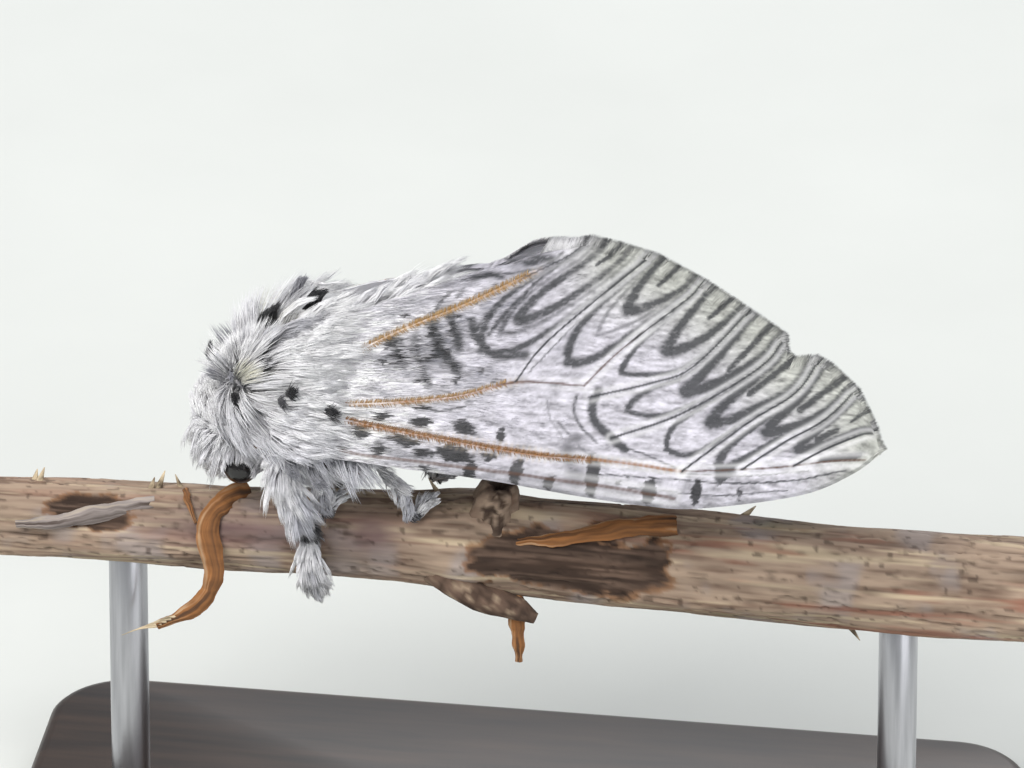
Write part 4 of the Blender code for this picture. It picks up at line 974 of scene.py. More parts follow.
def spot_hairs():
    """A tuft of dark hair on each black spot of the body."""
    groups = []
    for centre, radius, strength in SPOTS:
        count = int(50 + 190 * radius ** 2)
        centre = np.array(centre)
        out = unit((centre - THORAX_CENTRE) / THORAX_COAT ** 2)
        back = unit(np.array([0.9, 0.0, 0.15]) - out * (np.array([0.9, 0.0, 0.15]) @ out))
        across = np.cross(out, back)
        turn = rng.uniform(0, 2 * np.pi, count)[:, None]
        size = radius * np.sqrt(rng.uniform(0, 1, count))[:, None]
        place_on = centre + size * (0.7 * np.cos(turn) * back + 0.8 * np.sin(turn) * across)
        length = 0.4 + 0.4 * radius
        lift = 0.2 + 0.5 * max(abs(centre[1]) - 4.0, 0.0) + 0.4 * max(centre[2] - 14.5, 0.0)
        roots = place_on - 0.6 * length * back - 0.45 * out
        middles = place_on - 0.1 * length * back + lift * out
        tips = place_on + 0.55 * length * back + rng.normal(lift, 0.08, (count, 1)) * out
        tips += 0.22 * across * rng.normal(size=(count, 1))
        colours = mix(PALE_GREY, BLACK, np.full(count, strength))
        colours = colours * (1 + 0.5 * rng.uniform(0, 1, (count, 1)))
        places = unwrap(unit((roots - THORAX_CENTRE) / THORAX_COAT))
        groups.append((roots, middles, tips, rng.uniform(0.05, 0.09, count), colours, colours,
                       places))
    return gathered(groups)


def lid_hairs(side):
    """Hair of the brow that hangs over the upper half of the eye."""
    count = BODY_STRANDS["lid"]
    centre = EYE_CENTRE * (1, -side, 1)
    turn = rng.uniform(-0.15, np.pi + 0.15, count)
    rise = rng.uniform(0.0, 1.0, count)
    out = unit(np.array([-0.15, side, -0.15]))
    rim = together(-np.cos(turn), 0, np.sin(turn))
    roots = centre + EYE_RADIUS * (1.05 + 0.3 * rise)[:, None] * rim
    middles = centre + EYE_RADIUS * (0.9 * rim + 0.75 * out) + (0.1, 0.0, 0.1)
    tips = centre + EYE_RADIUS * (0.85 * rim + 0.9 * out) + (0.15, 0.0, 0.0)
    tips += rng.normal(0, 0.1, (count, 3))
    places = together(0.6 + 0.1 * turn, 0.04 - 0.01 * side)
    return furred(roots, middles, tips, (14, 0.4, 0.06), (0.045, 0.08), places)


def saddle_hairs():
    """Hair that lies back from the top of the thorax over the ridge where the wings meet."""
    count = BODY_STRANDS["saddle"]
    ahead = rng.uniform(0, 1, count)
    y = rng.uniform(-3.4, 3.4, count) * (1 - 0.5 * ahead)
    roots = together(-11.8 + 6.0 * ahead, 0.8 * y, 13.9 + 1.6 * ahead)
    top = 16.2 + 2.5 * ahead - 0.16 * y ** 2
    middles = together(-11.0 + 6.2 * ahead, y, top)
    tips = together(-9.0 + 6.4 * ahead, 0.85 * y, top + 0.35)
    tips += rng.normal(0, 0.25, (count, 3))
    places = together(0.55 + 0.2 * (y + 3.4) / 6.8, 0.05 + 0.3 * ahead)
    return furred(roots, middles, tips, (30, 0.6, 0.12), (0.06, 0.11), places)


def shoulder_reach(q):
    """How far out along the wing the shoulder's hair lies."""
    return np.interp(q, [-2.4, -0.4, 2.0, 4.9, 7.9], [2.0, 3.3, 3.3, 4.6, 5.2])


def held_down(points, p, q):
    """Points ahead of the wing's root, moved down onto the thorax's coat where they stand off."""
    size = np.linalg.norm((points - THORAX_CENTRE) / THORAX_COAT, axis=1)
    high = smoothstep(3.0, 5.0, q) * smoothstep(3.5, 0.5, p)
    factor = np.where(size > 0.97, 0.97 / size, 1.0)
    factor = 1 + (factor - 1) * high
    return THORAX_CENTRE + (points - THORAX_CENTRE) * factor[:, None]


def shoulder_hairs(side):
    """Hair that sweeps back from the shoulder over the wing's base."""
    near = side < 0
    count = SIDE_STRANDS["shoulder"][side]
    q = rng.uniform(-2.3, 7.6 if near else 5.2, count)
    start = rng.uniform(-3.0, 1.6, count) * (1 - 0.45 * rng.uniform(0, 1, count))
    reach = shoulder_reach(q) + rng.normal(0, 0.9, count)
    length = rng.uniform(2.6, 4.6, count)
    end = np.maximum(np.minimum(start + length, reach), start + 1.0)
    on_wing = wing_place(start, q, 0.25, side)
    toward = (wing_place(start, q, 0.0, side) - THORAX_CENTRE) / THORAX_CORE
    on_core = THORAX_CENTRE + THORAX_CORE * 0.97 * unit(toward)
    roots = mix(on_core, on_wing, smoothstep(-0.4, 0.6, start))
    height = 0.75 + 0.55 * np.sin(np.pi * np.clip((q + 2.4) / 10, 0, 1))
    fade = smoothstep(4.8, -1.0, end)
    middles = wing_place(0.55 * start + 0.45 * end, q + 0.1, 0.35 + height * (0.3 + fade), side)
    tips = wing_place(end, q + rng.normal(0, 0.25, count), 0.3 + 0.6 * height * fade
                      + rng.uniform(0, 0.3, count), side)
    middles = held_down(middles, start, q)
    tips = held_down(tips, end, q)
    first = 0.02 if near else 0.52
    places = together(first + 0.44 * (q + 2.4) / 10, 0.05 + 0.4 * (start + 4.2) / 6)
    return furred(roots, middles, tips, (32, 0.55, 0.1), (0.06, 0.11), places)


def head_hairs():
    """Short hair of the face, up and forwards on the brow and down on the cheeks."""
    directions = scattered(BODY_STRANDS["head"], SEED + 3)
    keep = directions[:, 0] < 0.45
    for side in (-1, 1):
        eye_way = unit(np.array([0.43, side * 0.93, -0.75]))
        keep &= directions @ eye_way < 0.84
    directions = directions[keep]
    count = len(directions)
    up = smoothstep(0.0, 0.35, directions[:, 2])
    lie = together(-0.15 - 0.1 * up, 0.1 * directions[:, 1], 0.5 * up - 0.65 * (1 - up))
    lie += rng.normal(0, 0.1, (count, 3))
    roots = HEAD_CENTRE + HEAD_CORE * 0.97 * directions
    middles = HEAD_CENTRE + (HEAD_CORE * 0.4 + HEAD_COAT * 0.6) * unit(directions + lie * 0.3)
    reach = HEAD_COAT * rng.uniform(0.8, 1.0, (count, 1))
    tips = HEAD_CENTRE + reach * unit(directions + lie)
    return furred(roots, middles, tips, (24, 0.55, 0.16), (0.05, 0.09), unwrap(directions))


def feeler_path(side):
    """The middle line of a feeler."""
    return smooth_path(np.array(FEELER_PATH) * (1, -side, 1), 10)


def cheek_hairs(side):
    """Hair that falls over the folded feeler and lets it show in two places."""
    count = BODY_STRANDS["cheek"]
    path = feeler_path(side)
    share = rng.uniform(0.02, 1.0, count)
    bare = bell(share - 0.3, 0.06) + bell(share - 0.72, 0.07)
    share = share[rng.uniform(0, 1, count) > 0.75 * bare]
    count = len(share)
    centre = together(*[np.interp(share * (len(path) - 1), np.arange(len(path)), path[:, axis])
                       for axis in range(3)])
    out = np.array([-0.25, side, 0.0])
    roots = centre + (-0.35, 0.0, 0.75) - 0.35 * out + rng.normal(0, 0.3, (count, 3))
    middles = roots + (0.45, 0.0, -0.5) + 0.62 * out
    tips = roots + (1.2, 0.0, -1.5) + 0.6 * out + rng.normal(0, 0.2, (count, 3))
    places = together(0.75 + 0.2 * share, 0.16 + 0.05 * side)
    return furred(roots, middles, tips, (24, 0.55, 0.14), (0.05, 0.09), places)


def abdomen_profile(share):
    """Radius of the abdomen at a share of its length, with a step at each segment."""
    body = ABDOMEN_RADIUS * (1 - 0.55 * share ** 1.6) * np.minimum(1.0, (1 - share) * 5 + 0.35)
    return body + 0.12 * np.cos(2 * np.pi * share * SEGMENT_COUNT)


def abdomen_axis(share):
    """Middle of the abdomen at a share of its length."""
    share = np.asarray(share, float)
    return together(ABDOMEN_FRONT + ABDOMEN_LENGTH * share, 0,
                    ABDOMEN_HEIGHT - 0.9 * share + 0.3 * np.sin(np.pi * share))


def abdomen_hairs():
    """Short hair lying back along the abdomen, longer at each ring and at the tip."""
    count = BODY_STRANDS["abdomen"]
    share = rng.uniform(0.02, 1.0, count)
    angle = rng.uniform(0, 2 * np.pi, count)
    outward = together(0, np.cos(angle), np.sin(angle))
    ring = 0.5 + 0.5 * np.cos(2 * np.pi * share * SEGMENT_COUNT)
    radius = abdomen_profile(share) - ABDOMEN_COAT
    length = 0.9 + 0.5 * ring + 0.5 * smoothstep(0.85, 1.0, share)
    ahead = together(length, 0, 0)
    roots = abdomen_axis(share) + outward * radius[:, None]
    middles = roots + 0.45 * ahead + outward * 0.3
    tips = roots + ahead + outward * (0.18 + 0.1 * rng.normal(size=count))[:, None]
    tips += rng.normal(0, 0.06, (count, 3))
    middles, tips = clumped(roots, middles, tips, 14, 0.4, 0.04)
    widths = rng.uniform(0.05, 0.09, count)
    dark = smoothstep(0.35, -0.1, ring - 0.4) * 0.5
    tip_colours = mix(WHITE * 0.9, GREY, np.clip(dark + 0.2 * rng.normal(size=count), 0, 0.85))
    places = together(0.5 + 0.48 * share, 0.5 + 0.48 * angle / (2 * np.pi))
    # Roots at 0.7 of the tips' colours: painted shade deep in the coat.
    return roots, middles, tips, widths, tip_colours * 0.7, tip_colours, places


def branch_bow(x):
    """How far the branch's middle rises above a straight line."""
    return BRANCH_BOW * bell(x + 5.0, 20.0)


def branch_radius(x, angle):
    """The branch's radius at x and at an angle from straight up towards the near side."""
    middle = 0.5 * (BRANCH_THIN + BRANCH_THICK)
    radius = middle + 0.5 * (BRANCH_THICK - BRANCH_THIN) * np.tanh((x + 8.0) / 14.0)
    radius = radius + 0.3 * bell(x + 2.5, 2.5)
    radius = radius + 0.07 * np.sin(5 * angle + 0.33 * x) + 0.05 * np.sin(8 * angle - 0.21 * x + 1)
    return radius - BARK_DEPTH * bark_loss(x, angle)


def bark_loss(x, angle):
    """How far the bark is gone at a place, from none to one."""
    x, angle = np.broadcast_arrays(np.asarray(x, float), angle)
    place3 = together(0.55 * x, 3.4 * np.cos(angle), 3.4 * np.sin(angle))
    wander = layered(place3.reshape(-1, 3), 4, 95).reshape(x.shape)
    lost = np.zeros(x.shape)
    for start, end, low, high in BARK_LOSS:
        low, high = math.radians(low), math.radians(high)
        ahead = (2 * x - start - end) / (end - start) + 0.45 * wander
        aside = (2 * angle - low - high) / (high - low) - 0.8 * wander
        reach = (abs(ahead) ** 2.6 + abs(aside) ** 2.6) ** (1 / 2.6)
        lost = np.maximum(lost, np.clip(3.5 * (1 - reach), 0, 1))
    return lost


def on_branch(x, degrees, above):
    """A point above the bark at x, at degrees from straight up towards the near side."""
    angle = np.radians(np.asarray(degrees, float)) % (2 * np.pi)
    x = np.asarray(x, float)
    reach = branch_radius(x, angle) + above
    return together(x, -reach * np.sin(angle), branch_bow(x) + reach * np.cos(angle))


def limb_path(kind, side, steps=6):
    """The middle line of a leg, from inside the body to its foot on the bark."""
    knee, foot, radius = LIMBS[kind]
    shift = 0.0 if side < 0 else 0.5
    points = [np.array([x + shift, y * -side, z]) for x, y, z in knee]
    for x, degrees in foot:
        points.append(on_branch(x + shift, degrees if side < 0 else -degrees, radius + 0.3))
    return smooth_path(points, steps)


LIMB_HAIRS = {"fore": (4400, 2.0), "mid": (800, 0.9), "hind": (800, 0.9)}


def limb_paint(share, turn, reached):
    """Colour of a leg's hair from where it grows, with a dark band where its tips lie."""
    tone = np.interp(share, [0.1, 0.28, 0.36, 0.56, 0.68, 1.0], [0.2, 0.0, 0.8, 0.9, 0.1, 0.3])
    tone += 0.5 * noise(together(share * 9, turn * 1.5), 60)
    band = bell(reached - 0.68, 0.045) + 0.35 * bell(reached - 0.95, 0.03)
    colours = mix(WHITE, PALE_GREY, np.clip(tone, 0, 1))
    return mix(colours, BLACK, np.clip(1.4 * band, 0, 0.95))


def limb_hairs(kind, side):
    """Hair of a leg, hanging down it, longest at the knee and shortest at the foot."""
    count, reach = LIMB_HAIRS[kind]
    path = limb_path(kind, side)
    share = rng.uniform(0.12, 0.98, count)
    place_on = share * (len(path) - 1)
    index = np.minimum(place_on.astype(int), len(path) - 2)
    part = (place_on - index)[:, None]
    centre = path[index] * (1 - part) + path[index + 1] * part
    along = unit(path[index + 1] - path[index])
    axis = together(centre[:, 0], 0, branch_bow(centre[:, 0]))
    away = centre - axis
    away = unit(away - along * np.sum(away * along, axis=1, keepdims=True))
    around = np.cross(along, away)
    turn = rng.uniform(-2.0, 2.0, count)[:, None]
    outward = away * np.cos(turn) + around * np.sin(turn)
    longest = np.interp(share, [0.1, 0.3, 0.5, 0.62, 0.75, 0.9, 1.0],
                        [1.1, 1.0, 0.8, 0.55, 0.9, 0.65, 0.4])
    length = (reach * longest * rng.uniform(0.7, 1.15, count))[:, None]
    foot = (smoothstep(0.72, 0.95, share))[:, None]
    roots = centre + outward * 0.28
    middles = roots + outward * 0.38 * length + along * 0.35 * length
    tips = roots + outward * 0.42 * length * (1 - 0.4 * foot) + along * length
    middles, tips = clumped(roots, middles, tips, 24, 0.5, 0.12)
    reached = share + length[:, 0] / np.linalg.norm(np.diff(path, axis=0), axis=1).sum()
    tip_colours = limb_paint(share, turn[:, 0], reached)
    offset = {"fore": 0.0, "mid": 0.33, "hind": 0.66}[kind] + (0.0 if side < 0 else 0.165)
    places = together(0.005 + offset + 0.15 * share, 0.3 + 0.4 * (turn[:, 0] + 2) / 4)
    widths = rng.uniform(0.05, 0.085, count)
    # Roots at 0.75 of the tips' colours: painted shade deep in the leg's coat.
    return roots, middles, tips, widths, tip_colours * 0.75, tip_colours, places


def wing_map(p, q):
    """Place of p and q on the flat map of the wing's hair."""
    return together(0.02 + p / 40, 0.1 + (q + 5) / 45)


def wing_hairs(side):
    """Hair scales that lie along the inner half of the wing."""
    count = SIDE_STRANDS["wing"][side]
    lower, upper = wing_edges(side)
    p = 2.2 + 26.0 * rng.uniform(0, 1, count) ** 1.6
    low = np.interp(p, *lower.T) + 0.15
    high = np.interp(p, *upper.T) - 0.15
    q = low + (high - low) * rng.uniform(0, 1, count)
    fade = smoothstep(17.0, 4.0, p)
    length = (0.3 + 1.0 * fade) * rng.uniform(0.7, 1.3, count)
    slope = 0.12 * (q - 1.0) / 8 + rng.normal(0, 0.08, count)
    roots = wing_place(p, q, TOP_LIFT - 0.03, side)
    middles = wing_place(p + 0.5 * length, q + 0.5 * slope * length,
                         TOP_LIFT + 0.08 + 0.1 * fade, side)
    end_q = np.minimum(q + slope * length, high + 0.1)
    tips = wing_place(p + length, end_q, TOP_LIFT + 0.03 + 0.08 * rng.uniform(0, 1, count), side)
    colours = wing_paint(p + 0.6 * length, q + 0.6 * slope * length, side)
    colours = np.clip(colours * (1.1 + rng.normal(0, 0.12, (count, 1))), 0, 0.93)
    places = wing_map(p, q)
    widths = rng.uniform(0.03, 0.045, count) * (0.5 + fade)
    # Roots at 0.92 of the tips' colours: painted shade under the lying scales.
    return roots, middles, tips, widths, colours * 0.92, colours, places


def fringe_paint(p, colours):
    """The wing's colours at its edge as the fringe has them, pale and spotted near the hump."""
    colours = mix(colours, WHITE * 0.62, 0.85 * smoothstep(18.5, 16.5, p))
    for spot in FRINGE_SPOTS:
        colours = mix(colours, LINE_GREY, 0.8 * smoothstep(0.3, 0.05, abs(p - spot)))
    return colours


def fringe_hairs(side):
    """The fringe along the wing's outer edge, dark in the middle of each cell."""
    count = SIDE_STRANDS["fringe"][side]
    outer = outer_edge(side)
    steps = np.linalg.norm(np.diff(outer, axis=0), axis=1)
    total = np.concatenate([[0], np.cumsum(steps)])
    spot = rng.uniform(0, total[-1], count)
    p = np.interp(spot, total, outer[:, 0])
    q = np.interp(spot, total, outer[:, 1])
    index = np.clip(np.searchsorted(total, spot) - 1, 0, len(steps) - 1)
    run = np.diff(outer, axis=0)[index] / steps[index][:, None]
    normal = together(-run[:, 1], run[:, 0])
    outward = unit(0.55 * normal + 0.45 * np.array([0.82, 0.57]) + rng.normal(0, 0.09, (count, 2)))
    depth = rng.uniform(0.4, 1.1, count)
    reach = FRINGE * rng.uniform(1.25, 1.9, count) + 0.3 * smoothstep(17.5, 15.5, p)
    edge = together(p, q)
    root = edge - outward * depth[:, None]
    tip = edge + outward * (reach - FRINGE * 1.3)[:, None]
    lift = TOP_LIFT - rng.uniform(0.0, 0.2, count)
    roots = wing_place(*root.T, TOP_LIFT - 0.01, side)
    middles = wing_place(*(0.5 * (root + tip)).T, TOP_LIFT + 0.06, side)
    tips = wing_place(*tip.T, lift, side)
    inside = edge - outward * (depth + 0.15)[:, None]
    colours = fringe_paint(p, wing_paint(*inside.T, side) * 1.05)
    colours = np.clip(colours * (1 + rng.normal(0, 0.1, (count, 1))), 0, 0.9)
    places = wing_map(p, q)
    widths = rng.uniform(0.05, 0.085, count)
    # Roots at 0.9 of the tips' colours: painted shade under the fringe.
    return roots, middles, tips, widths, colours * 0.9, colours, places


VEIN_COMBS = [("radius", 3.4, 19.0, VEIN_ORANGE, 700), ("anal", 4.0, 14.5, VEIN_YELLOW, 520),
              ("cubitus", 3.4, 13.5, VEIN_PINK, 420)]


def vein_hairs(side):
    """Short pale combs of scales that stand along the strong veins."""
    groups = []
    lines = vein_lines()
    for name, start, end, tint, count in VEIN_COMBS:
        line = lines[name]
        p = rng.uniform(start, end, count)
        q = np.interp(p, *line.T)
        slope = np.gradient(line[:, 1]) / np.gradient(line[:, 0])
        lean = np.interp(p, line[:, 0], slope)
        beside = rng.choice([-1.0, 1.0], count, p=[0.3, 0.7])
        length = rng.uniform(0.22, 0.38, count)
        tip_p = p + length * (0.45 - 0.8 * lean * beside)
        tip_q = q + lean * length * 0.45 + length * 0.85 * beside
        roots = wing_place(p, q, TOP_LIFT + 0.06, side)
        middles = wing_place(0.5 * (p + tip_p), 0.5 * (q + tip_q), TOP_LIFT + 0.26, side)
        tips = wing_place(tip_p, tip_q, TOP_LIFT + 0.12, side)
        shade = rng.uniform(0.0, 1.0, count) ** 1.5
        tip_colours = mix(tint, CREAM * 0.9, 0.35 * shade)
        # Roots at 0.7 to 1 of the vein's colour, varied at random: painted shade at the foot of
        # each comb.
        root_colours = tint * (0.7 + 0.3 * shade[:, None])
        places = wing_map(p, q)
        groups.append((roots, middles, tips, rng.uniform(0.035, 0.06, count), root_colours,
                       tip_colours, places))
    return gathered(groups)


# Skin, eyes and feelers

SKIN_VOXEL = 0.00022
PALP_PATH = [(-18.0, -0.7, 6.4), (-18.9, -0.8, 5.6), (-19.5, -0.8, 5.3)]


def ball(centre, radii, segments, levels):
    """A finely divided ball or egg as a shape."""
    turn = np.linspace(0, np.pi, levels)[1:-1]
    path = together(-np.cos(turn), 0, 0)
    points, quads, triangles = sweep(path, np.sin(turn), segments, facing=(0, 0, 1))
    return centre + points * radii, quads, triangles


def body_shapes():
    """Thorax, head, abdomen, neck, legs and palps as shapes that run into each other."""
    shapes = [ball(THORAX_CENTRE, THORAX_CORE, 40, 25), ball(HEAD_CENTRE, HEAD_CORE, 40, 25)]
    share = np.linspace(0, 1, 60)
    path = abdomen_axis(share)
    path[0, 0] -= 1.5
    radii = abdomen_profile(share) - ABDOMEN_COAT
    radii[-1] = 0.4
    shapes.append(sweep(path, radii, 40, facing=(0, 0, 1)))
    neck = [(-14.5, 0, 9.5), (-16.5, 0, 8.6)]
    shapes.append(sweep(neck, [2.4, 2.0], 24, facing=(0, 0, 1)))
    for kind, (_, _, thick) in LIMBS.items():
        for side in SIDES:
            path = limb_path(kind, side)
            along = np.linspace(0, 1, len(path))
            joints = 1 + 0.16 * np.cos(2 * np.pi * along * 5)
            shapes.append(sweep(path, 0.72 * thick * (1 - 0.45 * along) * joints, 12))
    for side in SIDES:
        palp = smooth_path(np.array(PALP_PATH) * (1, -side, 1), 4)
        shapes.append(sweep(palp, np.linspace(0.42, 0.2, len(palp)), 12))
    return shapes


def skin(material):
    """The body's one skin, grown over its shapes and painted with the markings, darkened as
    painted shade under the coat.
    """
    thing = make_mesh("skin", *join(body_shapes()))
    remesh = thing.modifiers.new("grow", "REMESH")
    remesh.mode = "VOXEL"
    remesh.voxel_size = SKIN_VOXEL
    depsgraph = bpy.context.evaluated_depsgraph_get()
    grown = bpy.data.meshes.new_from_object(thing.evaluated_get(depsgraph))
    thing.modifiers.clear()
    thing.data = grown
    points = np.empty(len(grown.vertices) * 3, np.float32)
    grown.vertices.foreach_get("co", points)
    points = points.reshape(-1, 3) / MM - (0, 0, BRANCH_HEIGHT)
    # The skin takes 0.7 of the markings' colours: painted shade under the coat.
    add_paint(grown, body_paint(points) * 0.7)
    grown.shade_smooth()
    legs = [f"leg_{kind}_{name}" for kind in LIMBS for name in SIDES.values()]
    dress(thing, material, "fur", "thorax", "head", "abdomen", *legs)


def eye(side, material):
    """One glossy compound eye."""
    centre = EYE_CENTRE * (1, -side, 1)
    thing = make_mesh(f"gaze_{SIDES[side]}", *ball(centre, EYE_RADIUS, 64, 48))
    dress(thing, material, "eye", f"eye_{SIDES[side]}")


def feeler(side, material):
    """One feeler with its two rows of fine comb teeth."""
    path = feeler_path(side)
    last = len(path) - 1
    shapes = [sweep(path, 0.17 * (1 - 0.6 * np.linspace(0, 1, last + 1)), 8)]
    for index in range(6, last):
        along = unit(path[min(index + 1, last)] - path[index - 1])
        reach = COMB_LENGTH * 0.8 * math.sin(math.pi * (index + 3) / (last + 8))
        for turn in (-1, 1):
            across = unit(np.array([0.45, 0.25 * -side, turn]))
            tip = path[index] + across * reach + along * 0.2
            middle = path[index] + across * reach * 0.55
            tooth = smooth_path([path[index], middle, tip], 2)
            shapes.append(sweep(tooth, [0.055, 0.05, 0.045, 0.035, 0.015], 5))
    thing = make_mesh(f"feeler_{SIDES[side]}", *join(shapes))
    dress(thing, material, "antenna", f"antenna_{SIDES[side]}")


# Branch

BARK_COLUMNS = 470
BARK_SIDES = 132
BARK_TAN = srgb(160, 139, 120)
BARK_BROWN = srgb(110, 88, 74)
BARK_GREY = srgb(150, 140, 136)
BARK_DARK = srgb(54, 38, 28)
BARK_ORANGE = srgb(146, 96, 52)
BARK_PURPLE = srgb(100, 78, 78)
BARK_GREEN = srgb(128, 136, 92)
BARK_RED = srgb(138, 88, 70)
WOOD_PALE = srgb(204, 186, 156)


def bark_height(x, angle):
    """Relief of the fibres, cracks and lumps of the bark."""
    around = together(np.cos(angle), np.sin(angle)) * 2.8
    fibres = np.column_stack([x * 0.3, around * 4.6])
    lumps = np.column_stack([x * 0.25, around * 0.8])
    cracks = np.column_stack([x * 0.22, around * 1.9])
    height = 0.075 * layered(fibres, 4, 70) + 0.10 * layered(lumps, 3, 74)
    split = abs(layered(cracks, 3, 78))
    return height - 0.16 * (1 - smoothstep(0.0, 0.07, split))


def bark_paint(x, angle, height):
    """Colour of the bark at x and angle, with its patches, painted shade in its cracks and painted
    light on its ridges.
    """
    around = together(np.cos(angle), np.sin(angle)) * 2.8
    place3 = np.column_stack([x, around])
    fibre = layered(place3 * (0.3, 4.6, 4.6), 4, 80)
    colour = mix(BARK_TAN, BARK_BROWN, smoothstep(-0.25, 0.6, fibre))
    colour = mix(colour, BARK_GREY, 0.7 * smoothstep(0.0, 0.5, layered(place3 * 0.4, 3, 84)))
    pale = layered(place3 * (0.12, 3.2, 3.2), 3, 86)
    colour = mix(colour, WOOD_PALE, 0.55 * smoothstep(0.1, 0.4, pale))
    right = smoothstep(2.0, 14.0, x)
    streaks = smoothstep(0.12, 0.45, layered(place3 * (0.14, 1.9, 1.9), 3, 87))
    colour = mix(colour, BARK_RED, 0.75 * streaks * (0.3 + 0.7 * right))
    green = smoothstep(0.1, 0.5, layered(place3 * 0.22, 2, 90)) * smoothstep(8.0, 12.0, x)
    colour = mix(colour, BARK_GREEN, 0.35 * green * smoothstep(22.0, 17.0, x))
    degrees = np.degrees(angle) % 360
    purple = (bell(x + 17.0, 6.0) * bell(degrees - 62, 30)
              + bell(x + 8.3, 1.6) * bell(degrees - 60, 24))
    colour = mix(colour, BARK_PURPLE, 0.85 * np.clip(purple, 0, 1))
    lost = bark_loss(x, angle)
    inner = mix(BARK_DARK, BARK_BROWN * 0.8, smoothstep(0.0, 0.7, fibre + 0.2))
    colour = mix(colour, BARK_ORANGE * 0.7, 0.7 * smoothstep(0.0, 0.2, lost))
    colour = mix(colour, inner, smoothstep(0.15, 0.6, lost + 0.3 * fibre * (lost > 0)))
    # Lower relief darker and higher relief lighter: painted shade in the cracks, painted light on
    # the ridges.
    colour = colour * (1 + 1.5 * np.clip(height, -0.25, 0.12))[:, None]
    specks = smoothstep(0.55, 0.75, noise(place3 * (2.2, 3.5, 3.5), 93))
    return mix(colour, BARK_DARK, 0.6 * specks)


def branch_shape():
    """The branch's own surface with both cut ends, and its colours."""
    x = np.repeat(np.linspace(-BRANCH_HALF, BRANCH_HALF, BARK_COLUMNS), BARK_SIDES)
    degrees = np.tile(360.0 * np.arange(BARK_SIDES) / BARK_SIDES, BARK_COLUMNS)
    angle = np.radians(degrees)
    height = bark_height(x, angle)
    points = on_branch(x, degrees, height - 0.05)
    shapes = [(points, grid_quads(BARK_COLUMNS, BARK_SIDES, wrap=True), [])]
    colours = [bark_paint(x, angle, height)]
    for end, first in ((-1, 0), (1, (BARK_COLUMNS - 1) * BARK_SIDES)):
        rim = points[first:first + BARK_SIDES]
        rings = []
        tints = []
        centre = np.array([end * BRANCH_HALF, 0, branch_bow(end * BRANCH_HALF)])
        for share in np.linspace(1, 0.02, 24):
            ring = centre + (rim - centre) * share
            ring[:, 0] += end * 0.05 * layered(ring[:, 1:] * 2.0, 3, 97) * (share < 0.99)
            rings.append(ring)
            growth = 0.5 + 0.5 * math.sin(share * 46)
            tint = mix(WOOD_PALE, BARK_BROWN, np.full(BARK_SIDES, 0.25 + 0.35 * growth))
            tint = mix(tint, BARK_DARK, np.full(BARK_SIDES, 0.8 * (share > 0.93)))
            tint = mix(tint, BARK_DARK, np.full(BARK_SIDES, 0.7 * (share < 0.12)))
            tints.append(tint)
        quads = grid_quads(24, BARK_SIDES, wrap=True)
        shapes.append((np.vstack(rings), quads if end > 0 else quads[:, ::-1], []))
        colours.append(np.vstack(tints))
    return shapes, colours


def peel(path, width, thickness, facing, curl=0.5):
    """A strip of peeled bark, curled across its width, as a shape and its grain's places."""
    path = smooth_path(path, 14)
    along = unit(np.gradient(path, axis=0))
    side = unit(np.cross(along, np.asarray(facing, float)))
    up = np.cross(side, along)
    count = len(path)
    share = np.linspace(0, 1, count)
    columns = 25
    across = np.linspace(-1, 1, columns)
    half = 0.5 * width * (1 - 0.6 * share ** 2) * (1 + 0.12 * np.sin(share * 19))
    rows = []
    for layer in (1, -1):
        sheet = (path[:, None] + side[:, None] * (half[:, None] * across)[..., None]
                 + up[:, None] * (0.5 * thickness * layer * (1 - across ** 4)
                                  - curl * half[:, None] * across ** 2 * 0.5)[..., None])
        rows.append(sheet.reshape(-1, 3))
    points = np.vstack(rows)
    points += 0.14 * sway(points, 1.4, 3, 100)
    quads = grid_quads(count, columns)
    quads = np.vstack([quads, quads[:, ::-1] + count * columns])
    grain = together(np.repeat(share * 2.2, columns), np.tile(across * 3.2, count))
    return points, quads, [], np.vstack([grain, grain + 5.0])


# Splinters: x, degrees round the branch, lean, height
SPLINTERS = [(-22.2, -8, 0.5, 1.05), (-29.6, -4, 0.4, 0.85), (-20.6, -12, -0.5, 0.75),
             (-4.6, -20, -0.8, 0.75), (14.0, -24, 0.9, 0.55), (21.0, 160, 0.8, 0.6),
             (-12.6, 196, 0.9, 0.6), (6.4, 205, -0.8, 0.7), (-22.6, -3, 0.3, 0.7),
             (-29.9, -9, 0.2, 0.6)]


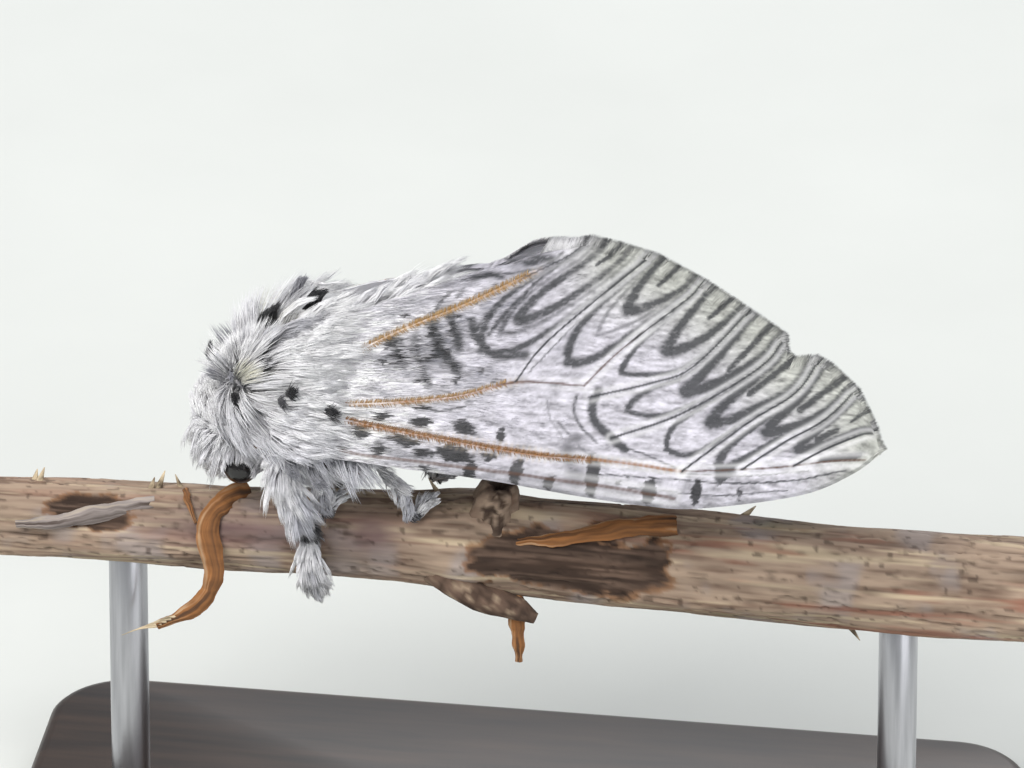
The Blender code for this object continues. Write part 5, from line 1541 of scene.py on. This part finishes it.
def peeling_strips():
    """The strips that peel off the bark, each with its colour and darkness."""
    hanging = [on_branch(-16.2, 6, -0.2), on_branch(-17.6, 30, 0.3), on_branch(-18.5, 62, 0.45),
               (-18.0, -3.7, -0.9), (-18.6, -4.0, -2.6), (-20.0, -4.1, -3.8),
               (-21.5, -4.0, -4.7)]
    thin = [on_branch(-20.4, 4, 0.0), on_branch(-20.0, 28, 0.25), on_branch(-19.3, 58, 0.25)]
    pieces = [(peel(hanging, 1.5, 0.16, (0, -1, 0.2)), BARK_ORANGE, 0.35),
              (peel(thin, 0.5, 0.14, (0, -1, 0.4)), BARK_ORANGE, 0.35)]
    for turn in range(5):
        root = np.array([-20.3 - 0.3 * turn, -4.05, -3.9 - 0.2 * turn])
        tip = root + (-1.3 - 0.25 * turn, 0.1 * turn, -0.55 - 0.12 * turn)
        thread = smooth_path([root, 0.5 * (root + tip) + (0, 0, 0.15), tip], 3)
        pieces.append((sweep(thread, np.linspace(0.09, 0.02, 7), 6), WOOD_PALE, 0.1))
    flap = [on_branch(10.4, 18, 0.25), on_branch(7.4, 29, 0.5), on_branch(3.8, 44, 0.3),
            on_branch(0.6, 55, -0.2)]
    left_flap = [on_branch(-22.0, 36, -0.2), on_branch(-25.0, 50, 0.3),
                 on_branch(-28.0, 66, 0.55), on_branch(-30.5, 72, 0.45)]
    pieces.append((peel(flap, 1.5, 0.18, (0, -0.5, 1), 0.8), BARK_ORANGE, 0.25))
    pieces.append((peel(left_flap, 1.2, 0.16, (0, -1, 0.4), 0.7), BARK_GREY, 0.35))
    return pieces


def spur():
    """The broken spur under the branch and the flake that hangs from it."""
    path = smooth_path([on_branch(-4.6, 118, -1.0), on_branch(-2.0, 132, 0.0),
                        on_branch(0.6, 140, 0.75), on_branch(1.9, 143, 1.2)], 8)
    radii = np.interp(np.linspace(0, 1, len(path)), [0, 0.35, 0.7, 1], [1, 1, 0.7, 0.35])
    points, quads, triangles = sweep(path, radii, 26)
    points = points + 0.1 * sway(points, (0.8, 2.4, 2.4), 3, 120)
    flake = [on_branch(0.4, 140, 0.0), on_branch(0.7, 146, 1.2) + (0, 0, -0.9),
             on_branch(0.8, 146, 1.4) + (0, 0, -2.9)]
    return [((points, quads, triangles), BARK_BROWN, 0.5),
            (peel(flake, 1.1, 0.16, (0, -1, 0.1)), BARK_ORANGE, 0.35)]


def splinters():
    """Short splinters that stand off the bark."""
    pieces = []
    for x, degrees, lean, height in SPLINTERS:
        root = on_branch(x, degrees, -0.4)
        tip = on_branch(x + lean, degrees, height)
        path = smooth_path([root, 0.5 * (root + tip), tip], 4)
        pieces.append((sweep(path, np.linspace(0.3, 0.03, 9), 8, flat=0.5), WOOD_PALE, 0.3))
    return pieces


def bark_pieces():
    """Peeling strips, spur, splinters and knot as shapes, with their colours."""
    shapes = []
    colours = []
    for shape, tint, dark in peeling_strips() + spur() + splinters():
        grain = shape[3] if len(shape) > 3 else shape[0] * 2.6
        fibre = layered(grain, 4, 110)
        shade = mix(tint, BARK_DARK, np.clip(dark + 1.3 * fibre, 0, 0.9))
        shapes.append(shape[:3])
        colours.append(mix(shade, WOOD_PALE, np.clip(-1.6 * fibre - 0.4, 0, 0.35)))
    knot, knot_colours = knot_shape()
    return shapes + [knot], colours + [knot_colours]


def knot_shape():
    """The broken stub with a cavity in its top, painted near black inside as shade, and a dark
    blotch painted towards the camera as the shadow of a cavity.
    """
    centres = np.array([on_branch(-1.0, 14, -1.2), on_branch(-0.9, 12, 0.2),
                        on_branch(-0.7, 10, 1.0), on_branch(-0.6, 9, 1.3)])
    outer = smooth_path(centres, 8)
    radii = np.interp(np.linspace(0, 1, len(outer)), [0, 0.33, 0.7, 1], [1.75, 1.35, 1.12, 0.85])
    inner = outer[::-1][:14]
    path = np.vstack([outer, inner])
    radii = np.concatenate([radii, np.linspace(0.6, 0.2, 14)])
    axis = unit(centres[-1] - centres[0])
    across = unit(np.cross(axis, (0, 1, 0)))
    up = np.cross(axis, across)
    angles = 2 * np.pi * np.arange(40) / 40
    rings = []
    for centre, radius in zip(path, radii):
        ragged = 1 + 0.12 * np.sin(5 * angles + radius * 3) + 0.06 * np.sin(11 * angles)
        ring = np.outer(np.cos(angles) * ragged, across) + np.outer(np.sin(angles) * ragged, up)
        rings.append(centre + radius * ring)
    points = np.vstack(rings)
    points += 0.07 * sway(points, 3.0, 3, 130)
    # Rings inside the stub's cavity, painted near black below as painted shade.
    depth = np.repeat(np.arange(len(path)) >= len(outer), 40)
    tone = layered(points * (2.5, 2.5, 2.5), 3, 134)
    colours = mix(BARK_TAN, BARK_BROWN, np.clip(0.5 + 1.2 * tone, 0, 1))
    outward = unit(points - np.repeat(path, 40, axis=0))
    # A dark blotch on the side towards the camera: painted shadow standing in for a cavity.
    hollow_shadow = smoothstep(0.62, 0.85, outward @ unit(np.array([0.2, -0.85, 0.5])) + 0.4 * tone)
    colours = mix(colours, BARK_DARK, np.where(depth, 0.95, 0.1 + 0.85 * hollow_shadow))
    return (points, grid_quads(len(path), 40, wrap=True), []), colours


def perch(material):
    """The branch with everything that peels and grows from it."""
    shapes, colours = branch_shape()
    more_shapes, more_colours = bark_pieces()
    thing = make_mesh("bark", *join(shapes + more_shapes), np.vstack(colours + more_colours))
    dress(thing, material, "bark", "perch")


# Stand

# The base's edge from the floor up: height, how far it is drawn in
BASE_EDGE = [(0.0, 0.45), (0.12, 0.15), (0.4, 0.0), (2.2, 0.0), (2.6, 0.12), (2.85, 0.4),
             (BASE_THICKNESS, 0.85)]
BASE_CORNER = 5.0


def base_ring(height, inset):
    """Points round the base at a height, with round corners and drawn in by the inset."""
    ring = []
    reach = BASE_CORNER - inset
    for quarter, (along, across) in enumerate([(1, 1), (-1, 1), (-1, -1), (1, -1)]):
        angle = 0.5 * np.pi * (quarter + np.linspace(0, 1, 17))
        ring.append(together(along * (BASE_LENGTH / 2 - BASE_CORNER) + reach * np.cos(angle),
                             across * (BASE_DEPTH / 2 - BASE_CORNER) + reach * np.sin(angle),
                             height - BRANCH_HEIGHT))
    return np.vstack(ring)


def plinth(material):
    """The stand's flat base with softened edges."""
    rings = [base_ring(height, inset) for height, inset in BASE_EDGE]
    middles = [(0, 0, height - BRANCH_HEIGHT) for height in (0, BASE_THICKNESS)]
    thing = make_mesh("plinth", *lofted(rings, middles))
    thing.data.set_sharp_from_angle(angle=math.radians(35))
    dress(thing, material, "base", "stand_base")


def rods(material):
    """The stand's two rods, from inside the base to inside the branch."""
    for side, name in SIDES.items():
        low = BASE_THICKNESS - BRANCH_HEIGHT - 1.0
        high = on_branch(side * ROD_SPREAD, 180, -1.0)[2]
        path = [(side * ROD_SPREAD, 0, z) for z in (low, low + 0.3, low + 1.0, high - 0.3, high)]
        radii = ROD_RADIUS - np.array([0.2, 0, 0, 0, 0.2])
        rod = make_mesh(f"rod_{name}", *sweep(path, radii, 48, facing=(0, 1, 0)))
        dress(rod, material, "rod", f"stand_rod_{name}")


# Materials

def material_with(name, roughness, metallic=0.0):
    """A new material, its node tree and its shader."""
    material = bpy.data.materials.new(name)
    material.use_nodes = True
    tree = material.node_tree
    shader = tree.nodes["Principled BSDF"]
    shader.inputs["Roughness"].default_value = roughness
    shader.inputs["Metallic"].default_value = metallic
    return material, tree, shader


def add_node(tree, kind, sources, values=None, **settings):
    """A node with its own settings, fed by other nodes' outputs, with values on its sockets."""
    node = tree.nodes.new(f"ShaderNode{kind}")
    for setting, value in settings.items():
        setattr(node, setting, value)
    for socket, source in sources.items():
        tree.links.new(source, node.inputs[socket])
    for socket, value in (values or {}).items():
        node.inputs[socket].default_value = value
    return node


def add_noise(tree, scale, detail, stretch=(1, 1, 1), uv=False):
    """A noise texture in object space, or in UV space, stretched along an axis."""
    coordinates = add_node(tree, "TexCoord", {})
    source = coordinates.outputs["UV" if uv else "Object"]
    mapping = add_node(tree, "Mapping", {"Vector": source}, {"Scale": stretch})
    texture = add_node(tree, "TexNoise", {"Vector": mapping.outputs["Vector"]},
                       {"Scale": scale, "Detail": detail})
    return texture.outputs["Fac"]


def add_ramp(tree, value, dark, light, start=0.0, end=1.0):
    """A colour that runs from dark to light as the value goes from start to end."""
    ramp = add_node(tree, "ValToRGB", {"Fac": value})
    for element, position, colour in zip(ramp.color_ramp.elements, (start, end), (dark, light)):
        element.position = position
        element.color = (*colour, 1)
    return ramp.outputs["Color"]


def add_bump(tree, shader, height, distance, strength):
    """Bump from a height on the shader's normal."""
    bump = add_node(tree, "Bump", {"Height": height},
                    {"Strength": strength, "Distance": distance * MM})
    tree.links.new(bump.outputs["Normal"], shader.inputs["Normal"])


def painted(name, roughness, scale, stretch, spread, bump, sheen=0.0, uv=False):
    """A material that takes its colour from the painted points, broken up by fine noise."""
    material, tree, shader = material_with(name, roughness)
    paint = add_node(tree, "Attribute", {}, attribute_name=PAINT)
    grain = add_noise(tree, scale, 4.0, stretch, uv)
    tint = add_node(tree, "MapRange", {"Value": grain},
                    {"To Min": 1 - spread, "To Max": 1 + spread})
    tinted = add_node(tree, "VectorMath",
                      {0: paint.outputs["Color"], "Scale": tint.outputs["Result"]},
                      operation="SCALE")
    tree.links.new(tinted.outputs[0], shader.inputs["Base Color"])
    if bump:
        add_bump(tree, shader, grain, bump, 0.6)
    shader.inputs["Sheen Weight"].default_value = sheen
    shader.inputs["Sheen Roughness"].default_value = 0.4
    return material


def eye_material():
    """Near black gloss with the fine pimples of a compound eye."""
    material, tree, shader = material_with("compound_eye", 0.16)
    coordinates = add_node(tree, "TexCoord", {})
    facets = add_node(tree, "TexVoronoi", {"Vector": coordinates.outputs["Object"]},
                      {"Scale": 9000})
    tone = add_ramp(tree, facets.outputs["Distance"], srgb(22, 17, 15), srgb(5, 4, 5))
    tree.links.new(tone, shader.inputs["Base Color"])
    add_bump(tree, shader, facets.outputs["Distance"], 0.03, 0.35)
    shader.inputs["Coat Weight"].default_value = 0.35
    shader.inputs["Coat Roughness"].default_value = 0.08
    return material


def ramped(name, roughness, metallic, dark, light, scale, stretch=(1, 1, 1), bump=0.0):
    """A material whose colour runs between two tones along stretched noise."""
    material, tree, shader = material_with(name, roughness, metallic)
    grain = add_noise(tree, scale, 6.0, stretch)
    tree.links.new(add_ramp(tree, grain, dark, light, 0.3, 0.75), shader.inputs["Base Color"])
    if bump:
        add_bump(tree, shader, grain, bump, 0.4)
    return material


# Studio

PIXEL = 0.0615
CAMERA_TURN = math.radians(8.74)
CAMERA_TILT = math.radians(28)
CAMERA_DISTANCE = 900.0
CAMERA_AIM = 10.44
FRAME_WIDTH = 1024
SENSOR = 36.0
FLOOR_HALF = 1200.0
# Place in metres, size, power and colour of each light
LIGHTS = {
    "key": ((-0.16, -0.30, 0.42), 0.34, 2.75, (1.0, 0.985, 0.96)),
    "fill": ((0.34, -0.30, 0.18), 0.4, 0.72, (0.97, 0.98, 1.0)),
    "back": ((0.06, 0.36, 0.30), 0.35, 1.1, (0.98, 0.99, 1.0)),
}


def aimed(name, data, right, up, back, spot):
    """A camera or lamp at a spot, with its own axes along the given ones."""
    thing = bpy.data.objects.new(name, data)
    bpy.context.scene.collection.objects.link(thing)
    thing.matrix_world = Matrix([*zip(right, up, back, spot), (0, 0, 0, 1)])
    return thing


def camera():
    """The camera at the photograph's viewing angle."""
    right = np.array([math.cos(CAMERA_TURN), math.sin(CAMERA_TURN), 0])
    level = np.array([-math.sin(CAMERA_TURN), math.cos(CAMERA_TURN), 0])
    up = level * math.sin(CAMERA_TILT) + np.array([0, 0, math.cos(CAMERA_TILT)])
    back = np.cross(right, up)
    data = bpy.data.cameras.new("camera")
    data.sensor_width = SENSOR
    data.lens = SENSOR * CAMERA_DISTANCE / (FRAME_WIDTH * PIXEL)
    data.clip_start = 0.01
    data.clip_end = 10
    spot = place(up * CAMERA_AIM) + back * CAMERA_DISTANCE * MM
    bpy.context.scene.camera = aimed("camera", data, right, up, back, spot)


def area_light(name, location, size, power, colour):
    """A soft square light turned towards the moth."""
    data = bpy.data.lights.new(name, "AREA")
    data.size = size
    data.energy = power
    data.color = colour
    back = unit(np.array(location) - (0, 0, 0.03))
    right = unit(np.cross((0, 0, 1), back))
    aimed(name, data, right, np.cross(back, right), back, location)


def studio():
    """Pale floor, soft lights and a pale surround."""
    edge = FLOOR_HALF
    corners = [(x, y, -BRANCH_HEIGHT) for y in (-edge, edge) for x in (-edge, edge)]
    floor = make_mesh("floor", corners, grid_quads(2, 2), [])
    floor.data.materials.append(
        ramped("floor_paper", 0.9, 0.0, srgb(214, 216, 212), srgb(222, 224, 220), 30.0))
    for name, values in LIGHTS.items():
        area_light(name, *values)
    world = bpy.data.worlds.new("surround")
    world.use_nodes = True
    background = world.node_tree.nodes["Background"]
    background.inputs["Color"].default_value = (0.86, 0.9, 0.96, 1)
    background.inputs["Strength"].default_value = 0.35
    bpy.context.scene.world = world
    bpy.context.scene.view_settings.view_transform = "Standard"


def main():
    fur = painted("soft_fur", 0.72, 900.0, (1, 1, 1), 0.12, 0.0, sheen=0.25)
    hide = painted("hide", 0.85, 2600.0, (1, 1, 1), 0.25, 0.03)
    scales = painted("wing_scales", 0.62, 700.0, (1.0, 5.0, 1.0), 0.22, 0.03, sheen=0.15, uv=True)
    hair_scales = painted("hair_scales", 0.6, 1200.0, (1, 1, 1), 0.1, 0.0, sheen=0.2)
    bark = painted("fibrous_bark", 0.88, 700.0, (0.16, 1.8, 1.8), 0.55, 0.15)
    skin(hide)
    for part, hairs in (("thorax", thorax_hairs), ("saddle", saddle_hairs), ("spot", spot_hairs),
                        ("head", head_hairs), ("abdomen", abdomen_hairs)):
        lay_coat(f"{part}_coat", hairs(), fur)
    gloss = eye_material()
    comb = ramped("feeler_comb", 0.6, 0.0, srgb(44, 32, 26), srgb(110, 84, 62), 2500.0)
    for side, name in SIDES.items():
        forewing(side, scales)
        hindwing(side, scales)
        eye(side, gloss)
        feeler(side, comb)
        for part, hairs in (("shoulder", shoulder_hairs), ("cheek", cheek_hairs),
                            ("lid", lid_hairs)):
            lay_coat(f"{part}_coat_{name}", hairs(side), fur)
        for part, hairs in (("wing_coat", wing_hairs), ("fringe", fringe_hairs),
                            ("vein_comb", vein_hairs)):
            lay_coat(f"{part}_{name}", hairs(side), hair_scales, "wing")
        for kind in LIMBS:
            lay_coat(f"{kind}_leg_coat_{name}", limb_hairs(kind, side), fur)
    perch(bark)
    plinth(ramped("stained_wood", 0.38, 0.0, srgb(34, 26, 22), srgb(66, 50, 40), 90.0,
                  (1.0, 9.0, 9.0), 0.02))
    rods(ramped("satin_steel", 0.3, 1.0, srgb(168, 168, 172), srgb(198, 198, 202), 400.0,
                (6.0, 6.0, 0.4)))
    studio()
    camera()


main()
